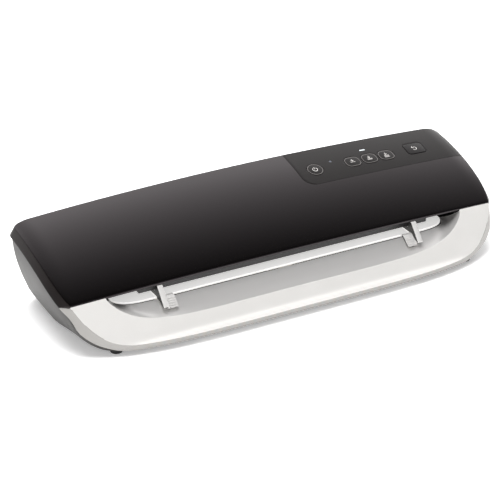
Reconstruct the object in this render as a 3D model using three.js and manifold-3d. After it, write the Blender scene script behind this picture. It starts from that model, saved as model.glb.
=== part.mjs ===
// A pouch laminator: a low, wide desk machine. A glossy cover bows over two pairs of
// silicone rollers, and a silver feed tray with a scooped throat curves out in front.
// Millimetres, +Z up. The origin is the middle of the footprint, on the table.
// +X runs along the machine to the right, and the feed side faces -Y.
import * as THREE from 'three';
import { mergeVertices } from 'three/addons/utils/BufferGeometryUtils.js';
import Module from 'manifold-3d';

const wasm = await Module();
wasm.setup();

// ---- driving dimensions ----
const FRONT_Y = -41;          // the cover's front edge
const RIM_Z = 52;             // height of that edge at its two ends
const FACE_HALF = 251;        // half the width of the cover's top face
const COVER_DEPTH = 120;      // front edge to the roll at the back
const REAR_DEPTH = 125;       // front edge to the back wall's outside
const WALL = 2.5;             // moulded wall thickness
const BEVEL_OUT = 5;          // the bevel round the top face: outwards
const BEVEL_DOWN = 9;         // ... and down
const GAP = 0.4;              // between pieces that touch
const RUN = 0.14;             // running clearance in a bearing
const BASE_Z = 4;             // underside of the base
const BASE_TOP = 6.5;
const ARC_RADIUS = 313.5;     // the cover's front-to-back arc
const ARC_START = 32.4;       // its slope at the front edge, degrees
const EDGE_RISE = 2.85;       // the front edge bows up by this at its middle
const SEAM_RUN = 14;          // the bevel's front end slants back by this, over the tray's band

const TRAY_HALF = 243;        // silver tray: half width at the cover
const TRAY_REACH = 43;        // ... and how far it stands out
const TRAY_DROP = 39.5;       // ... and how far it falls
const TRAY_RUN = 35;          // ... in this depth
const TRAY_SLOPE = 0.62;      // it leaves the cover at this share of its mean slope
const THROAT_HALF = 206;      // scooped throat cut in the tray
const THROAT_REACH = 21;

const PATH_Z = 41;            // the pouch's path through the machine
const LEDGE_Z = 38;           // top of the feed ledge
const LEDGE_FRONT = 1.3;
const GUIDE_TRACK = 2.8;      // open track in front of the ledge, where the guides' stems run
const SLOT_TOP = 44;
const GUIDE_X = 148;          // pouch guides, at rest, to the middle of each fin
const GUIDE_HALF = 3;
const RACK_Z = [27, 31];
const ARM_Z = [32, 35];
const PINION_DEPTH = 9.2;

const FRAME_X = 175;          // steel side frames
const FRAME_HALF = 1;
const ROLLER_R = 10.9;
const ROLLER_HALF = 165;
const SHAFT_R = 4;
const GEAR_X = 180;           // gear train, outside the right frame
const GEAR_WIDE = 6;
const ROLLER_TEETH = 22;
const IDLER_TEETH = 18;
const PINION_TEETH = 12;
const FRONT_NIP = 45;         // depth of the front roller pair
const REAR_NIP = 85;
const IDLER_DEPTH = 65;
const LOWER_Z = 30;
const UPPER_Z = 52;
const MOTOR_Z = 45;

// ---- colours ----
const finish = (color, roughness, metalness = 0) =>
  new THREE.MeshStandardMaterial({ color, roughness, metalness });
const GLOSS = finish(0x161314, 0.12);
const PANEL = finish(0x35302f, 0.6);
const SILVER = finish(0xd8d6d2, 0.35, 0.3);
const WHITE = finish(0xececea, 0.4);
const SHELL = finish(0x3a3a3c, 0.6);
const STEEL = finish(0xa8abad, 0.35, 0.9);
const ALLOY = finish(0xb9bcc0, 0.4, 0.9);
const SILICONE = finish(0xa2442e, 0.8);
const NYLON = finish(0xe6e2d4, 0.55);
const RUBBER = finish(0x151515, 0.9);
const BOARD = finish(0x1d5a34, 0.5);
const LENS = finish(0xdfe8ee, 0.2);

// ---- solids ----
function toSolid(geometry) {
  const bare = geometry.index ? geometry.toNonIndexed() : geometry.clone();
  bare.deleteAttribute('normal');
  bare.deleteAttribute('uv');
  const merged = mergeVertices(bare, 1e-4);
  const solid = new wasm.Manifold(new wasm.Mesh({
    numProp: 3,
    vertProperties: merged.attributes.position.array,
    triVerts: merged.index.array,
  }));
  return solid;
}

function toGeometry(solid) {
  const mesh = solid.getMesh();
  const geometry = new THREE.BufferGeometry();
  geometry.setAttribute('position', new THREE.BufferAttribute(mesh.vertProperties, 3));
  geometry.setIndex(new THREE.BufferAttribute(mesh.triVerts, 1));
  return geometry;
}

const group = new THREE.Group();
function piece(name, shape, material) {
  const geometry = shape.isBufferGeometry ? shape : toGeometry(shape);
  const mesh = new THREE.Mesh(geometry, material);
  mesh.name = name;
  group.add(mesh);
}

const join = (first, ...rest) => rest.reduce((sum, next) => sum.add(next), first);
const cut = (first, ...rest) => rest.reduce((left, next) => left.subtract(next), first);

// A closed slab between two curved faces. outer and inner map (u, v), each 0 to 1,
// to points; u runs to the right and v away from the viewer when outer faces up.
function slab(across, along, outer, inner) {
  const box = new THREE.BoxGeometry(1, 1, 1, across, along, 1);
  const place = box.attributes.position;
  for (let i = 0; i < place.count; i += 1) {
    const face = place.getZ(i) > 0 ? outer : inner;
    place.setXYZ(i, ...face(place.getX(i) + 0.5, place.getY(i) + 0.5));
  }
  return toSolid(box);
}

// A block between two corners, each [x, depth behind the front edge, z].
function block(low, high) {
  const size = high.map((value, i) => value - low[i]);
  const box = new THREE.BoxGeometry(...size);
  box.translate(low[0] + size[0] / 2, FRONT_Y + low[1] + size[1] / 2, low[2] + size[2] / 2);
  return toSolid(box);
}

// A flat outline of [x, depth] points, standing from one height to another.
function prism(points, bottom, top) {
  const shape = new THREE.Shape(points.map(([x, depth]) => new THREE.Vector2(x, FRONT_Y + depth)));
  const geometry = new THREE.ExtrudeGeometry(shape, { depth: top - bottom, bevelEnabled: false });
  geometry.translate(0, 0, bottom);
  return toSolid(geometry);
}

// A profile of [depth, z] points, drawn out along X.
function bar(points, left, right) {
  const shape = new THREE.Shape(points.map(([depth, z]) => new THREE.Vector2(FRONT_Y + depth, z)));
  const geometry = new THREE.ExtrudeGeometry(shape, { depth: right - left, bevelEnabled: false });
  geometry.applyMatrix4(new THREE.Matrix4().makeBasis(
    new THREE.Vector3(0, 1, 0), new THREE.Vector3(0, 0, 1), new THREE.Vector3(1, 0, 0)));
  geometry.translate(left, 0, 0);
  return toSolid(geometry);
}

// A round rod along X through [depth, z].
function rod(radius, depth, z, left, right, sides = 16) {
  const geometry = new THREE.CylinderGeometry(radius, radius, right - left, sides);
  geometry.rotateZ(-Math.PI / 2);
  geometry.translate((left + right) / 2, FRONT_Y + depth, z);
  return toSolid(geometry);
}

// An upright round post.
function post(radius, x, depth, bottom, top, sides = 16) {
  const geometry = new THREE.CylinderGeometry(radius, radius, top - bottom, sides);
  geometry.rotateX(Math.PI / 2);
  geometry.translate(x, FRONT_Y + depth, (bottom + top) / 2);
  return toSolid(geometry);
}

const lerp = (a, b, t) => a + (b - a) * t;
const power = (value, exponent) => Math.sign(value) * Math.abs(value) ** exponent;
const HALF_PI = Math.PI / 2;

// ---- the cover's face ----
const edgeX = (depth) => 244 + 8 * (1 - Math.exp(-depth / 20));

function faceZ(x, depth) {
  const start = Math.sin(THREE.MathUtils.degToRad(ARC_START));
  const slope = start - depth / ARC_RADIUS;
  const arc = ARC_RADIUS * (Math.sqrt(1 - slope ** 2) - Math.sqrt(1 - start ** 2));
  const crown = (3 + 4.93 * depth / COVER_DEPTH) * (x / FACE_HALF) ** 2;
  const shoulder = Math.min(Math.max((Math.abs(x) - 235) / 16, 0), 1);
  return RIM_Z + EDGE_RISE + arc - crown - 3.4 * depth / COVER_DEPTH * shoulder ** 2;
}

function faceFrame(x, depth) {
  const step = 0.5;
  const dx = (faceZ(x + step, depth) - faceZ(x - step, depth)) / (2 * step);
  const dy = (faceZ(x, depth + step) - faceZ(x, depth - step)) / (2 * step);
  const normal = new THREE.Vector3(-dx, -dy, 1).normalize();
  const right = new THREE.Vector3(1, 0, dx).normalize();
  const back = new THREE.Vector3().crossVectors(normal, right);
  return new THREE.Matrix4().makeBasis(right, back, normal)
    .setPosition(x, FRONT_Y + depth, faceZ(x, depth));
}

// An outline drawn on the face, pushed through it from one depth to another.
function plug(outline, x, depth, bottom, top) {
  const shape = new THREE.Shape(outline.map(([a, b]) => new THREE.Vector2(a, b)));
  const geometry = new THREE.ExtrudeGeometry(shape, { depth: top - bottom, bevelEnabled: false });
  geometry.translate(0, 0, bottom);
  geometry.applyMatrix4(faceFrame(x, depth));
  return toSolid(geometry);
}

const ring = (radius, sides) => Array.from({ length: sides }, (_, i) => {
  const angle = (i + 0.5) * 2 * Math.PI / sides;
  return [radius * Math.cos(angle), radius * Math.sin(angle)];
});

// A rectangle with arcs for corners, [a, b] points anticlockwise.
function roundedRect(wide, deep, radius, steps = 2) {
  const points = [];
  for (let corner = 0; corner < 4; corner += 1) {
    const sx = corner === 1 || corner === 2 ? -1 : 1;
    const sy = corner < 2 ? 1 : -1;
    for (let i = 0; i <= steps; i += 1) {
      const angle = (corner + i / steps) * HALF_PI;
      points.push([sx * (wide / 2 - radius) + radius * Math.cos(angle),
        sy * (deep / 2 - radius) + radius * Math.sin(angle)]);
    }
  }
  return points;
}

// ---- top cover ----
const EDGE_BAND = 0.1;        // share of the grid that the bevel and the rear roll take
const COVER_GRID = [20, 10];

function coverPoint(u, v, inset) {
  const s = u * 2 - 1;
  const bevel = Math.max((Math.abs(s) - 1 + EDGE_BAND) / EDGE_BAND, 0);
  const roll = Math.max((v - 1 + EDGE_BAND) / EDGE_BAND, 0);
  const front = (inset > 0 ? 1 : 0) + SEAM_RUN * bevel;
  const depth = lerp(front, COVER_DEPTH - inset, Math.min(v / (1 - EDGE_BAND), 1));
  const half = edgeX(depth) - inset;
  const x = half * Math.max(-1, Math.min(1, s / (1 - EDGE_BAND)));
  const drop = Math.max(bevel, roll);
  const z = faceZ(x, depth) - lerp(inset, 0, drop) - BEVEL_DOWN * drop;
  return [x + Math.sign(s) * BEVEL_OUT * bevel, FRONT_Y + depth + (REAR_DEPTH - COVER_DEPTH) * roll, z];
}

const PANEL_LEFT = 57;
const PANEL_FRONT = 64;
const PANEL_CORNER = 13;
const PANEL_SINK = 1.2;
const thicknessKey = (grow) => roundedRect(18.4 + 2 * grow, 15.4 + 2 * grow, 6);
const keys = [
  { name: 'button_power', x: 78, depth: 85, outline: (grow) => ring(9 + grow, 16) },
  { name: 'button_thickness_1', x: 124.5, depth: 85, outline: thicknessKey },
  { name: 'button_thickness_2', x: 145.5, depth: 85, outline: thicknessKey },
  { name: 'button_thickness_3', x: 166.5, depth: 85, outline: thicknessKey },
  { name: 'button_reverse', x: 204, depth: 87,
    outline: (grow) => roundedRect(23 + 2 * grow, 18 + 2 * grow, 4) },
];
const lamps = [
  { name: 'lamp_ready', x: 101, depth: 92.5, outline: (grow) => ring(1.4 + grow, 8) },
  { name: 'lamp_speed', x: 145.5, depth: 100.5, outline: (grow) => roundedRect(7 + 2 * grow, 2 + 2 * grow, 0.9, 1) },
];
const KEY_GROW = 0.35;
const KEY_HEIGHT = 4.4;
const KEY_CLEAR = 1.2;        // from a key's stem down to the board
const BOARD_Z = 74;
const BOARD_TOP = 75.6;

// The panel's outline in plan, shrunk by an inset.
function panelOutline(inset) {
  const left = PANEL_LEFT + inset;
  const front = PANEL_FRONT + inset;
  const back = COVER_DEPTH - 1.5 - inset;
  const points = [];
  for (let i = 0; i <= 5; i += 1) {
    const angle = Math.PI + i / 5 * HALF_PI;
    points.push([left + PANEL_CORNER + PANEL_CORNER * Math.cos(angle),
      front + PANEL_CORNER + PANEL_CORNER * Math.sin(angle)]);
  }
  points.push([edgeX(front) - 2 - inset, front], [edgeX(back) - 2 - inset, back], [left, back]);
  return points;
}

function faceLayer(bottom, top) {
  const at = (u, v, sink) => {
    const x = lerp(PANEL_LEFT - 5, FACE_HALF + 4, u);
    const depth = lerp(PANEL_FRONT - 5, COVER_DEPTH + 2, v);
    return [x, FRONT_Y + depth, faceZ(x, depth) + sink];
  };
  return slab(7, 3, (u, v) => at(u, v, top), (u, v) => at(u, v, bottom));
}

let cover = slab(...COVER_GRID, (u, v) => coverPoint(u, v, 0), (u, v) => coverPoint(u, v, WALL));
for (const [x, depth] of [[72, 80], [72, 98], [216, 80], [216, 98]]) {
  cover = join(cover, post(3, x, depth, BOARD_TOP + GAP, faceZ(x, depth) - 1.5, 10));
}
cover = cut(cover, faceLayer(-PANEL_SINK, 6).intersect(prism(panelOutline(0), RIM_Z, 110)));
let panel = faceLayer(GAP - PANEL_SINK, 0).intersect(prism(panelOutline(0.3), RIM_Z, 110));

for (const key of keys) {
  const window = plug(key.outline(KEY_GROW), key.x, key.depth, -8, 4);
  cover = cut(cover, window);
  panel = cut(panel, window);
  const cap = plug(key.outline(0), key.x, key.depth, -KEY_HEIGHT, 0.3);
  const reach = faceZ(key.x, key.depth) - BOARD_TOP - KEY_CLEAR;
  const stem = plug(ring(1.4, 8), key.x, key.depth, -reach, 0.2 - KEY_HEIGHT);
  piece(key.name, join(cap, stem), key.name === 'button_reverse' ? GLOSS : PANEL);
}
for (const lamp of lamps) {
  const window = plug(lamp.outline(0.2), lamp.x, lamp.depth, -6, 4);
  cover = cut(cover, window);
  panel = cut(panel, window);
  piece(lamp.name, plug(lamp.outline(0), lamp.x, lamp.depth, -4, 0.05), LENS);
}
piece('top_cover', cover, GLOSS);
piece('control_panel', panel, PANEL);

const boardParts = [
  block([70, 77, BOARD_Z], [218, 101, BOARD_TOP]),
  block([95, 80, BOARD_TOP], [107, 90, BOARD_TOP + 2]),
  block([182, 91, BOARD_TOP], [196, 99, BOARD_TOP + 3]),
];
piece('control_board', join(...boardParts), BOARD);

// ---- silver feed tray, with the scooped throat ----
// The plan outlines are superellipses about the middle of the cover's front edge.
function arch(angle, half, reach, across, back) {
  return [half * power(Math.sin(angle), 2 / across), -GAP - (reach - GAP) * power(Math.cos(angle), 2 / back)];
}

function trayZ(x, depth) {
  const run = Math.min(Math.max(-depth / TRAY_RUN, 0), 1);
  const fall = run ** 2 * (3 - 2 * run) + TRAY_SLOPE * run * (1 - run) ** 2;
  const bow = (EDGE_RISE - 3 * (x / FACE_HALF) ** 2) * (1 - run);
  return RIM_Z - 0.8 + bow - TRAY_DROP * fall;
}

const sweep = (u) => (u * 2 - 1) * HALF_PI;
const TRAY_SHAPE = [4.8, 1.5];
const THROAT_SHAPE = [6.5, 1.6];
const TRAY_BAND = 0.2;
const SEAM_STEP = 0.8;        // the tray lies this far below the cover at their seam
const TAIL = 12;              // the band starts to run back this far in front of the seam

// How far the tray's band stands out at this point of its rim: 1 at the ends, 0 in front.
const bandOut = (x) => Math.min(Math.abs(x) / TRAY_HALF, 1) ** 7;

// The band's lower edge below a point of the rim. At the tray's two ends it runs back
// under the slanted front end of the cover's bevel.
function bandFoot(x, rimDepth, inset) {
  const out = bandOut(x);
  const tail = Math.min(Math.max(1 + (rimDepth + GAP) / TAIL, 0), 1);
  const depth = lerp(rimDepth + lerp(3, 0, out), SEAM_RUN - 1.2, tail);
  const edge = edgeX(Math.max(depth, 0));
  const half = lerp(Math.abs(x) + BEVEL_OUT * out, edge - 1 + BEVEL_OUT - inset, tail);
  const surface = depth < 0 ? trayZ(x, depth) : faceZ(edge, depth) - SEAM_STEP;
  const down = lerp(lerp(6.7, BEVEL_DOWN, out), BEVEL_DOWN - SEAM_STEP, tail);
  return [Math.sign(x) * half, depth, lerp(trayZ(x, rimDepth), surface, Math.min(tail * 8, 1)) - down];
}

function trayPoint(u, v, inset) {
  const [rimX, rimDepth] = arch(sweep(u), TRAY_HALF - inset, TRAY_REACH - inset, ...TRAY_SHAPE);
  const t = Math.min(v / (1 - TRAY_BAND), 1);
  const band = Math.max((v - 1 + TRAY_BAND) / TRAY_BAND, 0);
  const x = lerp(rimX * 0.97, rimX, t);
  const depth = lerp(-GAP, rimDepth, t);
  const foot = bandFoot(rimX, rimDepth, inset);
  const [px, pd, pz] = [x, depth, trayZ(x, depth) - inset].map((value, i) => lerp(value, foot[i], band));
  return [px, FRONT_Y + pd, pz];
}

const throatRim = (angle, grow = 0) => arch(angle, THROAT_HALF + grow, THROAT_REACH + grow, ...THROAT_SHAPE);

// The scoop's inner line, which the ledge stands a step above.
function ledgeLine(angle, forward) {
  const bow = power(Math.cos(angle), 2 / 1.8);
  return [194 * power(Math.sin(angle), 2 / 18), 20 - (20 - LEDGE_FRONT + forward) * bow];
}

function scoopPoint(u, v, thick) {
  const angle = sweep(u);
  const [rimX, rimDepth] = throatRim(angle, 0.8);
  const [lineX, lineDepth] = ledgeLine(angle, GUIDE_TRACK);
  const x = lerp(lineX, rimX, v);
  const depth = lerp(lineDepth, rimDepth, v);
  const rimZ = trayZ(rimX, rimDepth) - 0.6;
  return [x, FRONT_Y + depth, lerp(LEDGE_Z - 1, rimZ, v) - thick];
}

// Seen from above, u runs right and v runs towards the viewer, so the slab is
// made with u turned round to keep its faces pointing out.
const trayShell = slab(32, 5, (u, v) => trayPoint(1 - u, v, 0), (u, v) => trayPoint(1 - u, v, WALL));
const throatSteps = Array.from({ length: 21 }, (_, i) => throatRim(sweep(i / 20)));
throatSteps.push([THROAT_HALF, 5], [-THROAT_HALF, 5]);
const throat = prism(throatSteps, 0, 80);
const scoop = slab(20, 3, (u, v) => scoopPoint(1 - u, v, 0), (u, v) => scoopPoint(1 - u, v, WALL));
piece('front_tray', join(cut(trayShell, throat), scoop), SILVER);

// ---- feed ledge, slot bezel ----
const ledgeOutline = [];
for (let i = 0; i <= 24; i += 1) {
  const [x, depth] = ledgeLine(sweep(i / 24), 0);
  ledgeOutline.push([x * 0.995, depth]);
}
ledgeOutline.push([193, 21], [171, 22], [171, 33], [-171, 33], [-171, 22], [-193, 21]);
piece('feed_ledge', prism(ledgeOutline, LEDGE_Z - 2, LEDGE_Z), WHITE);
piece('slot_bezel', bar([[5.3, SLOT_TOP], [17, SLOT_TOP], [33, SLOT_TOP - 1.4], [33, SLOT_TOP + 0.6],
  [17, SLOT_TOP + 2], [16, 53], [5.3, 53]], -168, 168), SHELL);

// ---- pouch guides on a rack and pinion ----
function toothedBar(left, right, rootDepth, tipDepth, phase, toothed) {
  const pitch = Math.PI;
  const backDepth = rootDepth - Math.sign(tipDepth - rootDepth) * 3.2;
  const points = [[left, backDepth], [left, rootDepth]];
  const first = Math.ceil((toothed[0] - phase) / pitch);
  const last = Math.floor((toothed[1] - phase) / pitch);
  for (let i = first; i <= last; i += 1) {
    const x = phase + i * pitch;
    points.push([x - 0.95, rootDepth], [x - 0.3, tipDepth], [x + 0.3, tipDepth], [x + 0.95, rootDepth]);
  }
  points.push([right, rootDepth], [right, backDepth]);
  return prism(points, ...RACK_Z);
}

function gearOutline(teeth, phase) {
  const radius = teeth / 2;
  const points = [];
  for (let i = 0; i < teeth; i += 1) {
    const middle = phase + i * 2 * Math.PI / teeth;
    for (const [r, half] of [[radius - 1.2, -0.95], [radius + 0.85, -0.3], [radius + 0.85, 0.3], [radius - 1.2, 0.95]]) {
      const angle = middle + half / r;
      points.push([r * Math.cos(angle), r * Math.sin(angle)]);
    }
  }
  return points;
}

const FIN = [[-1.2, -0.9], [4.9, -0.9], [4.9, -8.4], [15, -8.4], [15, -13.6], [0.9, -13.6], [0.9, -17],
  [-0.5, -17], [-0.5, -14.2], [-15.2, -19.2], [-16, -18.1]];
// The foot slopes down over the scoop, on the pouch's side of the fin.
const FOOT = [[-0.5, -13.8], [-0.5, -12.3], [-4, -13], [-13.5, -20.4], [-13, -21.9], [-3.5, -15]];
for (const side of [-1, 1]) {
  const name = side < 0 ? 'left' : 'right';
  const middle = side * GUIDE_X;
  const fin = bar(FIN.map(([depth, h]) => [depth, RIM_Z + h]), middle - GUIDE_HALF, middle + GUIDE_HALF);
  const inner = middle - side * GUIDE_HALF;
  const across = [inner - side * 11, inner + side * 0.5].sort((a, b) => a - b);
  const foot = bar(FOOT.map(([depth, h]) => [depth, RIM_Z + h]), ...across);
  piece(`guide_${name}`, join(fin, foot), SILVER);
  const rackEnd = -side * 20;
  const [left, right] = side < 0 ? [middle - GUIDE_HALF, rackEnd] : [rackEnd, middle + GUIDE_HALF];
  const pitchDepth = PINION_DEPTH + side * PINION_TEETH / 2;
  const toothed = [-side * 18, side * 108].sort((a, b) => a - b);
  const rack = toothedBar(left, right, pitchDepth + side * 1.25, pitchDepth - side * 0.85, HALF_PI, toothed);
  const webDepth = side < 0 ? [pitchDepth - 4.4, pitchDepth - 1.25] : [pitchDepth + 1.25, pitchDepth + 4.4];
  const arm = block([middle - GUIDE_HALF, -0.5, ARM_Z[0]], [middle + GUIDE_HALF, 19.4, ARM_Z[1] - 0.3]);
  const web = block([middle - GUIDE_HALF, webDepth[0], RACK_Z[1] - 0.5], [middle + GUIDE_HALF, webDepth[1], ARM_Z[0] + 0.5]);
  piece(`rack_${name}`, join(rack, web, arm), NYLON);
}

function gear(teeth, phase, bore, depth, z) {
  const shape = new THREE.Shape(gearOutline(teeth, phase).map(([a, b]) => new THREE.Vector2(a, b)));
  const geometry = new THREE.ExtrudeGeometry(shape, { depth: GEAR_WIDE, bevelEnabled: false });
  geometry.applyMatrix4(new THREE.Matrix4().makeBasis(
    new THREE.Vector3(0, 1, 0), new THREE.Vector3(0, 0, 1), new THREE.Vector3(1, 0, 0)));
  geometry.translate(GEAR_X, FRONT_Y + depth, z);
  const solid = toSolid(geometry);
  return bore ? cut(solid, rod(bore, depth, z, GEAR_X - 1, GEAR_X + GEAR_WIDE + 1, 16)) : solid;
}

const pinionShape = new THREE.Shape(gearOutline(PINION_TEETH, HALF_PI).map(([a, b]) => new THREE.Vector2(a, b)));
const pinionTeeth = new THREE.ExtrudeGeometry(pinionShape, { depth: RACK_Z[1] - RACK_Z[0], bevelEnabled: false });
pinionTeeth.translate(0, FRONT_Y + PINION_DEPTH, RACK_Z[0]);
const STUD_R = 2.5;
piece('guide_pinion', cut(toSolid(pinionTeeth), post(STUD_R + RUN, 0, PINION_DEPTH, 20, 40)), NYLON);
piece('pinion_stud', join(post(STUD_R, 0, PINION_DEPTH, BASE_TOP + GAP, ARM_Z[0] - 0.6),
  post(5, 0, PINION_DEPTH, BASE_TOP + GAP, RACK_Z[0] - GAP)), STEEL);

// ---- end caps, base, rear cover ----
const HULL_CORNER = 235;
const HULL_SIDE = 0.7;        // share of the hull's columns that run along the end
// The foot of the hull, in plan: it leans in towards the front, then curls in under the tray.
function hullFoot(t) {
  const depth = t < HULL_SIDE ? lerp(REAR_DEPTH - 1, 20, t / HULL_SIDE)
    : lerp(20, -24, (t - HULL_SIDE) / (1 - HULL_SIDE));
  const run = Math.max(60 - depth, 0);
  const curl = Math.max((-10 - depth) / 14, 0);
  const bow = 2 * Math.sin(Math.PI * Math.max(depth, 0) / REAR_DEPTH);
  return [HULL_CORNER + bow - 0.26 * run ** 2 / (run + 10) - 14 * curl ** 2, depth];
}

// The hull's top line follows the underside of the bevel, a shadow gap below it.
function hullTop(t) {
  if (t < HULL_SIDE) {
    const depth = lerp(REAR_DEPTH - 1, 2, t / HULL_SIDE);
    const x = edgeX(Math.min(depth, COVER_DEPTH));
    return [x + 2, depth, faceZ(x, Math.min(depth, COVER_DEPTH)) - BEVEL_DOWN - 0.8];
  }
  const angle = HALF_PI - (t - HULL_SIDE) / (1 - HULL_SIDE) * 0.86;
  const [x, depth] = arch(angle, TRAY_HALF, TRAY_REACH, ...TRAY_SHAPE);
  const out = bandOut(x);
  const z = trayZ(x, depth) - lerp(6.7, BEVEL_DOWN, out) - 2.4;
  return [x + lerp(-3, 2, out), depth + lerp(3.5, 0, out), Math.max(z, BASE_Z + 1.5)];
}

function hullPoint(t, v, inset) {
  const [footX, footDepth] = hullFoot(t);
  const [topX, topDepth, topZ] = hullTop(t);
  const swell = Math.sin(v * HALF_PI);
  return [lerp(footX, topX, swell) - inset, FRONT_Y + lerp(footDepth, topDepth, swell), lerp(BASE_Z, topZ, v)];
}

for (const side of [-1, 1]) {
  const at = (u, v, inset) => {
    const [x, y, z] = hullPoint(side < 0 ? u : 1 - u, v, inset);
    return [side * x, y, z];
  };
  const cap = slab(20, 3, (u, v) => at(u, v, 0), (u, v) => at(u, v, WALL));
  piece(side < 0 ? 'end_cap_left' : 'end_cap_right', cap, SHELL);
}

const baseSide = Array.from({ length: 15 }, (_, i) => hullFoot(i / 14))
  .map(([x, depth]) => [x - WALL - 1, Math.min(depth, REAR_DEPTH - 4)]);
for (let i = 0; i <= 8; i += 1) {
  baseSide.push(arch(lerp(0.82, 0, i / 8) ** 3, TRAY_HALF - 15, TRAY_REACH - 6.5, ...TRAY_SHAPE));
}
const baseOutline = [...baseSide, ...baseSide.slice(0, -1).map(([x, depth]) => [-x, depth]).reverse()];
const SCREWS = [[-120, 5], [120, 5], [-120, 108], [120, 108]];
const SCREW_R = 1.5;
let base = prism(baseOutline.reverse(), BASE_Z, BASE_TOP);
for (const [x, depth] of SCREWS) {
  base = cut(base, post(SCREW_R + 0.3, x, depth, 0, 20, 12), post(3.4, x, depth, 0, BASE_Z + 1.2, 12));
}
piece('base_pan', base, SHELL);

SCREWS.forEach(([x, depth], i) => {
  const screw = join(post(3, x, depth, BASE_Z - 0.2, BASE_Z + 1, 12), post(SCREW_R, x, depth, BASE_Z + 0.5, 14, 12));
  piece(`base_screw_${i + 1}`, screw, STEEL);
});

const FEET = { foot_front_left: [-204, -16.5], foot_front_right: [204, -16.5],
  foot_rear_left: [-215, 105], foot_rear_right: [215, 105] };
for (const [name, [x, depth]] of Object.entries(FEET)) {
  const profile = [[0, 0], [5.6, 0], [6.4, 0.8], [6.4, BASE_Z - 0.3], [0, BASE_Z - 0.3]];
  const foot = new THREE.LatheGeometry(profile.map(([r, z]) => new THREE.Vector2(r, z)), 20);
  foot.rotateX(Math.PI / 2);
  foot.translate(x, FRONT_Y + depth, 0);
  piece(name, toSolid(foot), RUBBER);
}

// ---- rear cover, exit slot, power inlet ----
// An outline of [x, z] points, pushed along +Y from one depth to another.
function through(points, near, far) {
  const shape = new THREE.Shape(points.map(([x, z]) => new THREE.Vector2(z, x)));
  const geometry = new THREE.ExtrudeGeometry(shape, { depth: far - near, bevelEnabled: false });
  geometry.applyMatrix4(new THREE.Matrix4().makeBasis(
    new THREE.Vector3(0, 0, 1), new THREE.Vector3(1, 0, 0), new THREE.Vector3(0, 1, 0)));
  geometry.translate(0, FRONT_Y + near, 0);
  return toSolid(geometry);
}

const shifted = (points, x, z) => points.map(([a, b]) => [a + x, b + z]);
const REAR_WALL = REAR_DEPTH - 0.9;
const EXIT_HALF = 167.6;
const EXIT_Z = [35.9, 47.1];
const EXIT_LIP = 2.1;
const EXIT_NEAR = 110;
const VENT_Z = 64;
const VENT_PITCH = 9;
const INLET = [205, 20];
const INLET_PLATE_X = 190;
const REAR_GAP = 1.2;

// Half the width between the end caps' inner faces at the back, at this height.
function rearHalf(z) {
  const top = hullTop(0)[2];
  return hullPoint(0, (z - BASE_Z) / (top - BASE_Z), WALL + REAR_GAP)[0];
}

const coverRim = (x) => faceZ(x, COVER_DEPTH) - BEVEL_DOWN - 0.6;

// A plate of the back wall between two x values, or out to the end caps.
function rearPlate(leftEnd, rightEnd, low, high, across) {
  const at = (u, v, depth) => {
    const half = rearHalf(lerp(low, high(FACE_HALF), v));
    const x = lerp(Math.min(rightEnd, half), Math.max(leftEnd, -half), u);
    return [x, FRONT_Y + depth, lerp(low, high(x), v)];
  };
  return slab(across, 3, (u, v) => at(u, v, REAR_WALL), (u, v) => at(u, v, REAR_WALL - WALL));
}

let upper = rearPlate(-FACE_HALF, FACE_HALF, EXIT_Z[1] + GAP, coverRim, 12);
for (const bank of [-1, 1]) {
  for (let i = 0; i < 6; i += 1) {
    const x = bank * (95 + i * VENT_PITCH);
    upper = cut(upper, block([x - 1.8, 115, VENT_Z - 7], [x + 1.8, 130, VENT_Z + 7]));
  }
}
piece('rear_cover_upper', upper, SHELL);
const lowerTop = () => EXIT_Z[0] - GAP;
piece('rear_cover_lower', rearPlate(-FACE_HALF, INLET_PLATE_X, BASE_Z, lowerTop, 2), SHELL);

const lipHalf = rearHalf(EXIT_Z[0]) - 0.2;
piece('exit_lip_lower', block([-lipHalf, EXIT_NEAR, EXIT_Z[0]], [lipHalf, REAR_DEPTH, EXIT_Z[0] + EXIT_LIP]), SHELL);
piece('exit_lip_upper', block([-lipHalf, EXIT_NEAR, EXIT_Z[1] - EXIT_LIP], [lipHalf, REAR_DEPTH, EXIT_Z[1]]), SHELL);
for (const side of [-1, 1]) {
  const ends = [side * EXIT_HALF, side * lipHalf].sort((a, b) => a - b);
  piece(side < 0 ? 'exit_cheek_left' : 'exit_cheek_right', block(
    [ends[0], EXIT_NEAR, EXIT_Z[0] + EXIT_LIP + 0.3],
    [ends[1], REAR_DEPTH, EXIT_Z[1] - EXIT_LIP - 0.3]), SHELL);
}

const inletPlate = rearPlate(INLET_PLATE_X + GAP, FACE_HALF, BASE_Z, lowerTop, 2);
const inletOutline = shifted(roundedRect(24, 15, 2.5), ...INLET);
const inletBody = cut(join(through(inletOutline, 104, REAR_DEPTH - 0.3), inletPlate),
  through(shifted(roundedRect(15.5, 8, 3.8), ...INLET), 111, 130));
const pins = [-4.3, 4.3].map((offset) =>
  through(shifted(ring(1.2, 10), INLET[0] + offset, INLET[1]), 110, 118.5));
piece('power_inlet', join(inletBody, ...pins), RUBBER);

// ---- side frames, heater, shield ----
const FRAME = [[26, BASE_TOP + GAP], [106, BASE_TOP + GAP], [106, 60], [98, 70], [40, 70], [26, 58]];
const NIPS = { front: FRONT_NIP, rear: REAR_NIP };
const LEVELS = { lower: LOWER_Z, upper: UPPER_Z };

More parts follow.
